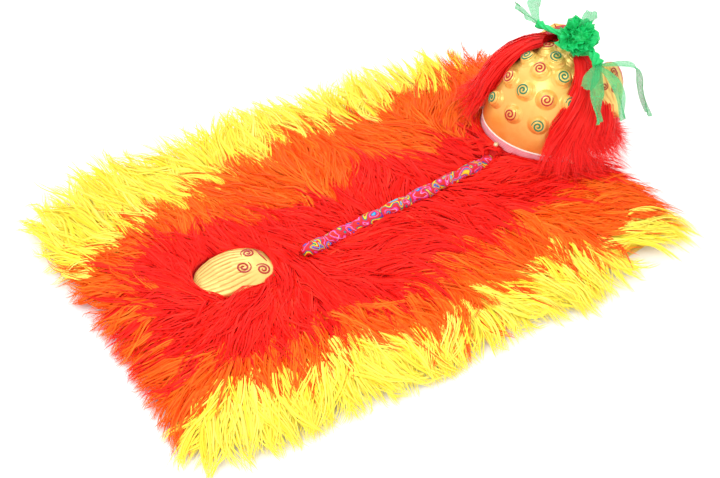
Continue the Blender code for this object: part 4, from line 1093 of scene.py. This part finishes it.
def on_dome(azimuth, latitude, radius, height):
    """A place on a dome of this size, in degrees round it and up it."""
    a, b = np.radians(azimuth), np.radians(latitude)
    row = (radius * np.cos(a) * np.cos(b), radius * np.sin(a) * np.cos(b), height * np.sin(b))
    return np.stack(np.broadcast_arrays(*row), axis=-1)


def dome_normal(azimuth, latitude):
    """Straight out of the dome."""
    rows = on_dome(azimuth, latitude, 1.0 / RIM_RADIUS, 1.0 / DOME_HEIGHT)
    return rows / np.linalg.norm(rows, axis=-1, keepdims=True)


def dome_point(azimuth, latitude, lift=0.0):
    """A point on the dome, or lifted off it."""
    rows = on_dome(azimuth, latitude, RIM_RADIUS, DOME_HEIGHT) + (0.0, 0.0, DOME_BASE)
    return rows + dome_normal(azimuth, latitude) * np.asarray(lift, float)[..., None]


def stud_matrix(azimuth, latitude, lift):
    """The place of a stud: its Z points straight out of the dome."""
    normal = Vector(dome_normal(azimuth, latitude))
    place = Vector(dome_point(azimuth, latitude, lift))
    return Matrix.Translation(place) @ normal.to_track_quat("Z", "Y").to_matrix().to_4x4()


CurlRing = namedtuple("CurlRing", "latitude count first_azimuth first_colour")
CURL_RINGS = (
    CurlRing(21.0, 12, 15.0, 0),
    CurlRing(40.0, 12, 15.0, 1),
    CurlRing(60.0, 8, 17.0, 0),
    CurlRing(77.0, 4, 33.0, 1),
)
CURLS = [
    (ring.first_azimuth + 360.0 * i / ring.count, ring.latitude, (ring.first_colour + i) % 2)
    for ring in CURL_RINGS
    for i in range(ring.count)
]


def dome_arc(wall):
    """Radii and heights up the dome, this far inside its outer face."""
    return [
        ((RIM_RADIUS - wall) * math.cos(b), DOME_BASE + (DOME_HEIGHT - wall) * math.sin(b))
        for b in np.radians(np.linspace(0.0, 90.0, 34))
    ]


outer = dome_arc(0.0)
inner = dome_arc(SHELL_WALL)[::-1]
skull = spun("gold_skull", outer + inner + outer[:1], 72)
STUD_PROFILE = (
    (0.0, -0.0012), (0.0215, -0.0034), (0.0212, -0.0022), (0.0190, -0.0008), (0.0174, 0.0009),
    (0.0163, 0.0028), (0.0155, 0.0048), (0.0147, 0.0062), (0.0134, 0.0070), (0.0, 0.0071),
)
stud = spun("stud", STUD_PROFILE, 24)
studs = [put(copy_of(stud), stud_matrix(azimuth, latitude, 0.0)) for azimuth, latitude, _ in CURLS]
bpy.data.objects.remove(stud)
skull = put(join("gold_skull", [skull, *studs]), CAP)

gold = Finish("gold_paint", (238, 186, 92), 0.30, 0.35, Coat_Weight=0.25, Coat_Roughness=0.18)
_, _, z_axis = gold.axes()
# Painted light and shade: the gold is paler towards the top of the dome and darker, more orange,
# low down
high = ((z_axis - 0.09) * 7.0).clamp()
body = gold.blend(high, (234, 142, 44), (244, 200, 96))
brushed = gold.noise(34.0, 5.0, distortion=0.6)
gold.colour(brushed * 0.5, body, (252, 222, 130))
gold.set("Roughness", brushed * 0.25 + 0.20)
gold.relief(gold.noise(160.0, 3.0), 0.0004)
complete(skull, [gold], "gold_paint", ["skull_shell"], angle=50.0)
print("skull faces:", len(skull.data.polygons))

# %% [markdown]
# Each stud carries a snail: a gold button with one line of thick paint that winds out from its
# middle, red and green by turns. The button is spun and the line is a cord pressed on it. Both
# are modelled once and copied to every stud.

# %% Painted curls
BUTTON_PROFILE = (
    (0.0, 0.0), (0.0138, 0.0), (0.0140, 0.0010), (0.0134, 0.0022), (0.0112, 0.0034),
    (0.0082, 0.0044), (0.0048, 0.0051), (0.0, 0.0054),
)
button = spun("button", BUTTON_PROFILE, 24)
CURL_TURNS = 1.85
CURL_REACH = 0.0112
CURL_LINE = 0.0016
share = np.linspace(0.0, 1.0, 44)
angle = 2 * math.pi * CURL_TURNS * share
reach = 0.0010 + CURL_REACH * share**0.9
height = 0.0054 - 0.0026 * (reach / 0.0126) ** 2
snail = np.stack((reach * np.cos(angle), reach * np.sin(angle), height), axis=1)
tail_end = np.minimum(1.0, 0.55 + 3.2 * (1.0 - share))
line = tube("line", snail, CURL_LINE * tail_end * (1.0 + 0.5 * (1.0 - share) ** 6))
LINE_COLOURS = (("red", (206, 24, 22), (150, 10, 12)), ("green", (8, 140, 92), (4, 92, 66)))
line_paint = []
for word, bright, dark in LINE_COLOURS:
    paint = Finish("curl_" + word + "_paint", bright, 0.28, Coat_Weight=0.5)
    patches = paint.noise(500.0, 3.0)
    paint.colour(patches, dark, bright)
    paint.relief(patches, 0.0003)
    line_paint.append(paint)
for number, (azimuth, latitude, colour) in enumerate(CURLS):
    matrix = CAP @ stud_matrix(azimuth, latitude, STUD_TOP)
    twist = Matrix.Rotation(2.4 * number, 4, "Z")
    seat = put(copy_of(button), matrix)
    wound = put(copy_of(line), matrix @ twist)
    for piece, slot in ((seat, 0), (wound, 1)):
        piece.data.materials.append(gold.material)
        piece.data.materials.append(line_paint[colour].material)
        piece.data.polygons.foreach_set("material_index", [slot] * len(piece.data.polygons))
    curl = join(f"painted_curl_{number + 1:02d}", [seat, wound])
    slot = ("curl_red", "curl_green")[colour]
    complete(curl, (), slot, [f"curl_{number + 1:02d}"], angle=50.0)
for piece in (button, line):
    bpy.data.objects.remove(piece)
print("curls:", len(CURLS))

# %% [markdown]
# Round the cap's opening goes a pink elastic band, woven in fine ribs, with a white piping cord
# above it and four little bell beads tied to its edge.

# %% Band, piping and beads
elastic = Finish("elastic_band", (240, 142, 156), 0.8, Sheen_Weight=0.3)
_, _, z_axis = elastic.axes()
rib = (z_axis * 1900.0).wave() * 0.5 + 0.5
worn = elastic.noise(120.0, 3.0)
worn_rib = (rib * 0.6 + worn * 0.4).clamp()
elastic.colour(worn_rib, (226, 112, 130), (250, 178, 186))
elastic.relief(rib, 0.0005)
RIBS = 5
inside, outside = RIM_RADIUS - 0.0022, RIM_RADIUS - 0.0004
profile = [(inside, 0.0), (outside, 0.0)]
for i in range(RIBS * 4 + 1):
    bulge = 0.00045 * abs(math.sin(math.pi * i / 4))
    profile.append((outside + bulge, 0.0002 + (BAND_HEIGHT - 0.0004) * i / (RIBS * 4)))
profile += [(inside, BAND_HEIGHT), (inside, 0.0)]
band = put(spun("pink_band", profile, 96), CAP)
complete(band, [elastic], "elastic_band", ["rim_band"], angle=60.0)

piping = Finish("white_piping", (252, 240, 228), 0.6, Sheen_Weight=0.2)
piping.colour(piping.noise(240.0), (240, 222, 206), (255, 250, 244))
PIPING_REACH = RIM_RADIUS - 0.0006
PIPING_HEIGHT = BAND_HEIGHT + 0.0021
PIPING_RADIUS = 0.0018
ring = [
    (PIPING_REACH + PIPING_RADIUS * math.cos(a), PIPING_HEIGHT + PIPING_RADIUS * math.sin(a))
    for a in (2 * math.pi * i / 12 for i in range(13))
]
rope = spun("white_piping_cord", ring, 120)
rows = points_of(rope)
twist = np.arctan2(rows[:, 1], rows[:, 0]) * 90
lay = np.arctan2(rows[:, 2] - PIPING_HEIGHT, np.hypot(rows[:, 0], rows[:, 1]) - PIPING_REACH)
swell = 1.0 + 0.00016 * np.cos(twist + 2 * lay) / PIPING_RADIUS
rows[:, 2] = PIPING_HEIGHT + (rows[:, 2] - PIPING_HEIGHT) * swell
move_points(rope, rows)
complete(put(rope, CAP), [piping], "piping", ["rim_cord"], angle=80.0)

bell = Finish("bead_gilding", (226, 206, 150), 0.28, 0.35, Coat_Weight=0.3)
bell.colour(bell.noise(420.0, 3.0), (196, 160, 96), (246, 234, 196))
bell.relief(bell.noise(900.0), 0.0002)
BEAD_PROFILE = (
    (0.0, -0.0052), (0.0020, -0.0050), (0.0034, -0.0042), (0.0046, -0.0022), (0.0049, -0.0004),
    (0.0052, 0.0), (0.0049, 0.0004), (0.0044, 0.0024), (0.0030, 0.0042), (0.0016, 0.0050),
    (0.0014, 0.0060), (0.0, 0.0062),
)
BEAD_AZIMUTHS = (20.0, 126.0, 191.0, 271.0)
for number, azimuth in enumerate(BEAD_AZIMUTHS):
    out = Vector((math.cos(math.radians(azimuth)), math.sin(math.radians(azimuth)), 0.0))
    lean = Vector((out.x, out.y, -0.5)).to_track_quat("-Z", "Y").to_matrix().to_4x4()
    bead = spun(f"bell_bead_{number + 1}", BEAD_PROFILE, 24)
    put(bead, CAP @ Matrix.Translation(out * (RIM_RADIUS + 0.0055) + Vector((0, 0, 0.0053))) @ lean)
    complete(bead, [bell], "bead", [f"rim_bead_{number + 1}"], angle=60.0)
print("beads:", len(BEAD_AZIMUTHS))

# %% [markdown]
# The ears hang over the hair from the top of the cap. They are bent like the leaves they copy,
# gilded in front and red behind, with three scrolls near the root.

# %% Ears
EAR_OUTLINE = ((0.0, 0.04), (0.02, 0.40), (0.08, 0.74), (0.18, 0.94), (0.32, 1.0), (0.48, 0.94))
EAR_OUTLINE += ((0.64, 0.76), (0.78, 0.52), (0.90, 0.27), (0.97, 0.10), (1.0, 0.02))
EAR_TOP = (0.38, 0.76, 1.10)
EAR_TIP = (0.71, 1.19, 0.58)
CAP_HEIGHT = DOME_BASE + DOME_HEIGHT
EAR_BEND = 0.010


def cap_place(shares, side):
    """A place in the cap's frame from its shares of the rim's radius and the cap's height."""
    forward, sideways, up = shares
    return np.array((forward * RIM_RADIUS, side * sideways * RIM_RADIUS, up * CAP_HEIGHT))


def ear_height(along, across):
    carved = 0.0007 * grooves(along, across, 5.0, 0.03) * np.clip((along - 0.45) * 6.0, 0.0, 1.0)
    return -EAR_BEND * (across**2 + 0.6 * (2 * along - 1) ** 2) - carved


def ear_leaf(side):
    top, tip = cap_place(EAR_TOP, side), cap_place(EAR_TIP, side)
    way = (tip - top) / np.linalg.norm(tip - top)
    out = np.array((0.0, side, 0.6))
    normal = out - way * (out @ way)
    normal /= np.linalg.norm(normal)
    return Leaf(
        start=top, way=way, side=np.cross(way, normal) * side, normal=normal,
        length=float(np.linalg.norm(tip - top)), half_width=0.038, outline=EAR_OUTLINE,
        shift=((0.0, 0.0), (1.0, 0.0)), height=ear_height, wall=0.0028,
    )


EAR_SCROLLS = (
    Scroll(along=0.20, across=0.36, radius=0.0112, start=30.0, turns=2.1),
    Scroll(along=0.32, across=-0.48, radius=0.0078, start=200.0, turns=1.8),
    Scroll(along=0.44, across=0.02, radius=0.0082, start=120.0, turns=1.8),
)
ear_gold = gilding("ear_gilding", (248, 216, 122), (206, 134, 44))
ear_red = Finish("ear_back_paint", (212, 26, 28), 0.4, Coat_Weight=0.2)
ear_red.colour(ear_red.noise(60.0, 3.0), (186, 14, 20), (232, 40, 38))
for word, side in (("left", 1), ("right", -1)):
    leaf = ear_leaf(side)
    ear = leaf_mesh("ear_leaf_" + word, leaf, 56, 40)
    offset = points_of(ear) - leaf.start
    along, across = leaf_shares(leaf, offset)
    face_height = offset @ leaf.normal - ear_height(along, across)
    mark_leaf(ear, leaf, 5.0, 0.03)
    ear.data.materials.append(ear_gold.material)
    ear.data.materials.append(ear_red.material)
    for polygon in ear.data.polygons:
        corners = polygon.vertices
        behind = np.mean(face_height[corners]) < -0.0009
        edge = np.mean(across[corners]) > 0.90 and np.mean(along[corners]) < 0.55
        polygon.material_index = int(behind or edge)
    put(ear, CAP)
    complete(ear, (), "pale_gold_paint", ["ear_" + word])
    cords = [scroll_cord(leaf, scroll, 0.0013) for scroll in EAR_SCROLLS]
    cords = put(join("ear_scrolls_" + word, cords), CAP)
    complete(cords, [scroll_red], "pale_gold_paint", ["ear_" + word])
print("ear length:", round(leaf.length, 3))

# %% [markdown]
# ## Hair
# Long red hair falls from the top of the cap on both sides, sleek over the dome and loose where
# it spreads on the fur. It uses the same ribbons as the coat. Each lock's middle line runs down
# the dome between a place at the top and a place at the foot, and its tip lies on the fur. The
# two falls lie differently, so each has tables of its own.

# %% Hair
# Each fall from its front lock (0) to its back one (1): degrees ahead of the cap's side at the
# top and at the foot, how far it stands off the dome, and how far its tips reach past the foot
Fall = namedtuple("Fall", "word side top foot lift reach")
FALLS = (
    Fall(
        "left", 1, ((0.0, 44.0), (1.0, -27.0)),
        ((0.0, 62.0), (0.2, 44.0), (0.4, 24.0), (0.6, 2.0), (0.8, -24.0), (1.0, -52.0)),
        ((0.0, 0.022), (0.3, 0.036), (0.6, 0.034), (1.0, 0.034)),
        ((0.0, 0.036), (0.3, 0.056), (0.7, 0.060), (1.0, 0.050)),
    ),
    Fall(
        "right", -1, ((0.0, -14.0), (1.0, -42.0)),
        ((0.0, 34.0), (0.2, 17.0), (0.4, 0.0), (0.6, -17.0), (0.8, -34.0), (1.0, -54.0)),
        ((0.0, 0.018), (0.4, 0.028), (0.7, 0.040), (1.0, 0.044)),
        ((0.0, 0.044), (0.3, 0.056), (0.7, 0.062), (1.0, 0.048)),
    ),
)
HAIR_CLEAR = 0.0160
HAIR_LATITUDE = (74.0, 60.0, 42.0, 24.0, 8.0)
HAIR_TURNED = (0.0, 0.25, 0.55, 0.82, 1.0)
HAIR_SHARE = (0.40, 0.60, 0.75, 0.88, 1.0)
HAIR_LOCKS = 170
HAIR_SPREAD = 0.0085
HAIR_HALF_WIDTH = 0.00085
TIP_HEIGHT = 0.054
STRANDS_IN_HAIR_LOCK = 18
HAIR_SHAPE = {"thick": 0.5, "sway": 0.0030, "parted": False}
TO_CAP = np.array(CAP.to_3x3()).T

# The first colour is the painted shade at the roots of the hair, and also its darkest strand tone
hair_finish = fibre_finish(
    "hair_fibre", (196, 6, 10), (240, 18, 18), (255, 40, 32), (255, 92, 70), roughness=0.36
)
for fall in FALLS:
    draw = np.random.default_rng(7 if fall.side > 0 else 8)
    u = (np.arange(HAIR_LOCKS) + draw.uniform(0.0, 1.0, HAIR_LOCKS)) / HAIR_LOCKS
    top = table(u, fall.top)
    foot = table(u, fall.foot) + draw.normal(0.0, 3.0, HAIR_LOCKS)
    lift = table(u, fall.lift)
    layer = draw.uniform(-0.002, 0.008, HAIR_LOCKS)
    line = []
    for latitude, turned, share in zip(HAIR_LATITUDE, HAIR_TURNED, HAIR_SHARE):
        azimuth = fall.side * (90.0 + top + (foot - top) * turned)
        line.append(dome_point(azimuth, latitude, np.maximum(lift * share, HAIR_CLEAR) + layer))
    azimuth = np.radians(fall.side * (90.0 + foot + draw.normal(0.0, 7.0, HAIR_LOCKS)))
    reach = RIM_RADIUS + lift + table(u, fall.reach) * draw.uniform(0.4, 1.1, HAIR_LOCKS)
    tips = np.stack((np.cos(azimuth) * reach, np.sin(azimuth) * reach, 0 * reach), axis=1)
    line = np.stack(line + [tips], axis=1) @ TO_CAP + np.array(CAP_PLACE)
    line[:, -1, 2] = TIP_HEIGHT + draw.uniform(0.0, 0.014, HAIR_LOCKS)
    line = resampled(line, STEPS + 1)
    name = "hair_fall_" + fall.word
    hair = grow(
        name, line, HAIR_SPREAD, STRANDS_IN_HAIR_LOCK, HAIR_HALF_WIDTH, draw, **HAIR_SHAPE
    )
    complete(hair, [hair_finish], "hair", ["hair_" + fall.word], angle=None)

# %% [markdown]
# ## Green tulle
# Tulle is a net so fine that it looks like coloured air, and gets stronger where it lies in
# layers. Every strip is a thin sheet with an alpha near a half. It is laid through a few places on
# the cap, and long soft folds are raised along it.

# %% Tulle
tulle = Finish("green_tulle", (20, 196, 110), 0.55, Sheen_Weight=0.3)
folds = tulle.noise(70.0, 4.0, distortion=1.0)
tulle.colour(folds, (10, 176, 92), (60, 222, 140))
tulle.set("Alpha", folds * 0.35 + 0.30)
tulle.relief(tulle.noise(300.0, 2.0), 0.0004)
TULLE_WALL = 0.00025

Station = namedtuple("Station", "forward sideways up half_width turn")


def smooth_rows(rows, count):
    """A smooth row of values through a few given ones."""
    return resampled(np.asarray(rows, float)[None], count)[0]


def directions(path):
    """The ways ahead, level and up at each point of a path."""
    ahead = np.gradient(path, axis=0)
    ahead /= np.linalg.norm(ahead, axis=1, keepdims=True)
    level = np.cross(ahead, (0.0, 0.0, 1.0))
    level /= np.linalg.norm(level, axis=1, keepdims=True) + 1e-9
    return ahead, level, np.cross(level, ahead)


def tulle_strip(name, stations, side, ruffle, seed, columns=40, lanes=10):
    """A strip of tulle through places on the cap, with soft folds along it."""
    piece = flat_grid(name, columns - 1, lanes - 1)
    row = np.round((points_of(piece)[:, 0] + 1.0) / 2 * (columns - 1)).astype(int)
    lane = points_of(piece)[:, 1]
    knots = smooth_rows(
        [[*cap_place(s[:3], side), s.half_width, math.radians(s.turn)] for s in stations], columns
    )
    middle, half, twist = knots[:, :3], knots[:, 3], knots[:, 4]
    ahead, level, up = directions(middle)
    wide = level * np.cos(twist)[:, None] + up * np.sin(twist)[:, None]
    out = np.cross(wide, ahead)
    wave = np.sin(lane * 4.1 + row * 0.19 + seed) + 0.6 * np.sin(lane * 9.3 - row * 0.31 + 2 * seed)
    depth = ruffle * wave * (0.35 + 0.65 * row / columns)
    rows = middle[row] + wide[row] * (half[row] * lane)[:, None] + out[row] * depth[:, None]
    move_points(piece, rows)
    return modify(put(piece, CAP), "SOLIDIFY", thickness=TULLE_WALL, offset=0.0)


def sheet_area(piece):
    """The flat area of a thin sheet, from half the area of its two faces."""
    return sum(face.area for face in piece.data.polygons) / 2


def declare_tulle(piece, width, nodes):
    """Finishes a strip of tulle, hides the frame's parts it stands for and prints its area."""
    complete(piece, [tulle], "tulle", nodes, angle=80.0)
    area = sheet_area(piece)
    area / width
    print(piece.name, "area", round(area * 1e4, 1), "cm2")


# All the tails of a side start at the knot over its ear
KNOTS = {1: Station(0.02, 0.72, 1.10, 0.004, 0.0), -1: Station(0.11, 0.80, 1.14, 0.004, 0.0)}
WORDS = {1: "left", -1: "right"}
TAILS = (
    ("up", 1, 0.035, (
        Station(-0.16, 0.94, 1.16, 0.014, 0.0), Station(-0.36, 1.02, 1.26, 0.011, 20.0))),
    ("side", 1, 0.030, (
        Station(0.06, 1.02, 1.22, 0.013, 0.0), Station(0.22, 1.06, 1.34, 0.010, 30.0))),
    ("tip", -1, 0.030, (
        Station(-0.06, 0.90, 1.05, 0.014, 0.0), Station(-0.22, 1.00, 0.96, 0.010, 10.0))),
    ("drop", -1, 0.034, (
        Station(-0.08, 1.16, 0.92, 0.015, 0.0), Station(-0.03, 1.36, 0.66, 0.012, 10.0))),
    ("ear", -1, 0.036, (
        Station(0.22, 1.22, 1.04, 0.018, 0.0), Station(0.34, 1.52, 0.74, 0.012, 10.0))),
    ("back", -1, 0.030, (
        Station(0.74, 1.00, 1.14, 0.014, 0.0), Station(1.06, 1.06, 0.86, 0.013, 0.0),
        Station(1.48, 1.10, 0.50, 0.010, 0.0))),
)
for number, (tail, side, width, stations) in enumerate(TAILS):
    word = WORDS[side]
    name = f"tulle_{word}_tail_{tail}"
    strip = tulle_strip(name, (KNOTS[side], *stations), side, 0.0026, 1.7 * number)
    declare_tulle(strip, width, ["tulle_tie_" + word])

# %% [markdown]
# Two twisted strips run from the pompon to a knot over each ear. A twisted strip is a rope of
# folds, so it is a spun tube drawn along its path, with creases that wind round it.


# %% Twists and knots
def twisted_rope(name, stations, side, turns):
    """A strip twisted into a rope with winding creases."""
    knots = smooth_rows([[*cap_place(s[:3], side), s.half_width] for s in stations], 46)
    rope = spun(name, [(0.0, 0.0)] + [(1.0, i / 45) for i in range(46)] + [(0.0, 1.0)], 20)
    rows = points_of(rope)
    row = np.clip(np.round(rows[:, 2] * 45).astype(int), 0, 45)
    angle = np.arctan2(rows[:, 1], rows[:, 0])
    size = np.hypot(rows[:, 0], rows[:, 1])
    _, level, up = directions(knots[:, :3])
    crease = 1.0 + 0.30 * np.sin(4 * angle + 2 * math.pi * turns * row / 45)
    out = level[row] * np.cos(angle)[:, None] + up[row] * np.sin(angle)[:, None]
    radius = size * crease * knots[row, 3]
    move_points(rope, knots[row, :3] + out * radius[:, None])
    return put(rope, CAP)


tulle_dense = Finish("gathered_tulle", (6, 196, 98), 0.6)
folds = tulle_dense.noise(120.0, 4.0, distortion=1.5)
tulle_dense.colour(folds, (0, 172, 80), (20, 232, 130))
tulle_dense.relief(folds, 0.0012)
ROPES = (
    (1, (
        Station(0.05, -0.05, 1.22, 0.0060, 0.0), Station(0.00, 0.30, 1.16, 0.0045, 0.0),
        Station(0.02, 0.56, 1.12, 0.0050, 0.0), Station(0.02, 0.72, 1.10, 0.0080, 0.0))),
    (-1, (
        Station(0.08, 0.40, 1.22, 0.0070, 0.0), Station(0.11, 0.62, 1.19, 0.0070, 0.0),
        Station(0.11, 0.80, 1.14, 0.0090, 0.0))),
)
for side, stations in ROPES:
    rope = twisted_rope(f"tulle_{WORDS[side]}_twist", stations, side, 3.0)
    complete(rope, [tulle_dense], "tulle", ["tulle_tie_" + WORDS[side]], angle=80.0)
print("ropes:", len(ROPES))

# %% [markdown]
# The pompon is a heap of ruffled discs that face every way but down, on a crumpled core that
# hides the gaps between them. A loop of the same tulle stands up from it.

# %% Pompon
POMPON_MIDDLE = (0.06, -0.22, 1.24)
POMPON_RADIUS = 0.040
PETALS = 11


def rosette(matrix, radius, waves, seed):
    """A ruffled disc of tulle."""
    piece = flat_grid("petal", 7, 95)
    rows = points_of(piece)
    share = (rows[:, 0] + 1.0) / 2
    angle = math.pi * rows[:, 1]
    ruffle = np.sin(waves * angle + seed) + 0.5 * np.sin((2 * waves + 1) * angle + 2.3 * seed)
    reach = radius * (0.10 + 0.90 * share) * (1.0 + 0.10 * np.sin(3 * angle + seed))
    height = radius * share * (0.30 * ruffle + 0.16)
    move_points(piece, np.stack((reach * np.cos(angle), reach * np.sin(angle), height), axis=1))
    in_edit_mode(piece, *TIDY)
    return put(piece, matrix)


draw = np.random.default_rng(5)
petals = []
for number in range(PETALS):
    way = Vector(draw.normal(0.0, 1.0, 3))
    way.z = abs(way.z) * 0.9 + 0.1
    way.normalize()
    middle = Vector(cap_place(POMPON_MIDDLE, 1)) + way * (0.010 + 0.006 * draw.random())
    turn = way.to_track_quat("Z", "Y").to_matrix().to_4x4()
    size = POMPON_RADIUS * draw.uniform(0.62, 0.86)
    waves = int(draw.integers(5, 9))
    petals.append(rosette(Matrix.Translation(middle) @ turn, size, waves, number))
pompon = join("tulle_pompon", petals)
modify(put(pompon, CAP), "SOLIDIFY", thickness=TULLE_WALL, offset=0.0)
puff = Finish("pompon_tulle", (6, 206, 104), 0.6)
folds = puff.noise(90.0, 4.0, distortion=1.2)
puff.colour(folds, (0, 186, 88), (20, 240, 138))
puff.set("Alpha", folds * 0.3 + 0.62)
complete(pompon, [puff], "tulle", ["pompon"], angle=80.0)
area = sheet_area(pompon)
area / 0.06

core = spun("pompon_core", [(0.0, -0.03)] + [
    (0.026 * math.sin(a), -0.026 * math.cos(a)) for a in np.linspace(0.25, math.pi - 0.02, 16)
] + [(0.0, 0.026)], 28)
rows = points_of(core)
dents = np.sin(rows[:, 0] * 260.0) * np.sin(rows[:, 1] * 240.0 + rows[:, 2] * 300.0)
rows *= (1.0 + 0.10 * dents)[:, None]
move_points(core, rows)
put(core, CAP @ Matrix.Translation(cap_place(POMPON_MIDDLE, 1)))
complete(core, [tulle_dense], "tulle", ["pompon"], angle=80.0)
LOOP = (
    Station(0.06, -0.22, 1.30, 0.010, 20.0), Station(0.08, -0.28, 1.46, 0.016, 20.0),
    Station(0.08, -0.30, 1.58, 0.010, 20.0),
)
loop = tulle_strip("tulle_loop", LOOP, 1, 0.002, 9.0)
declare_tulle(loop, 0.034, ["pompon"])
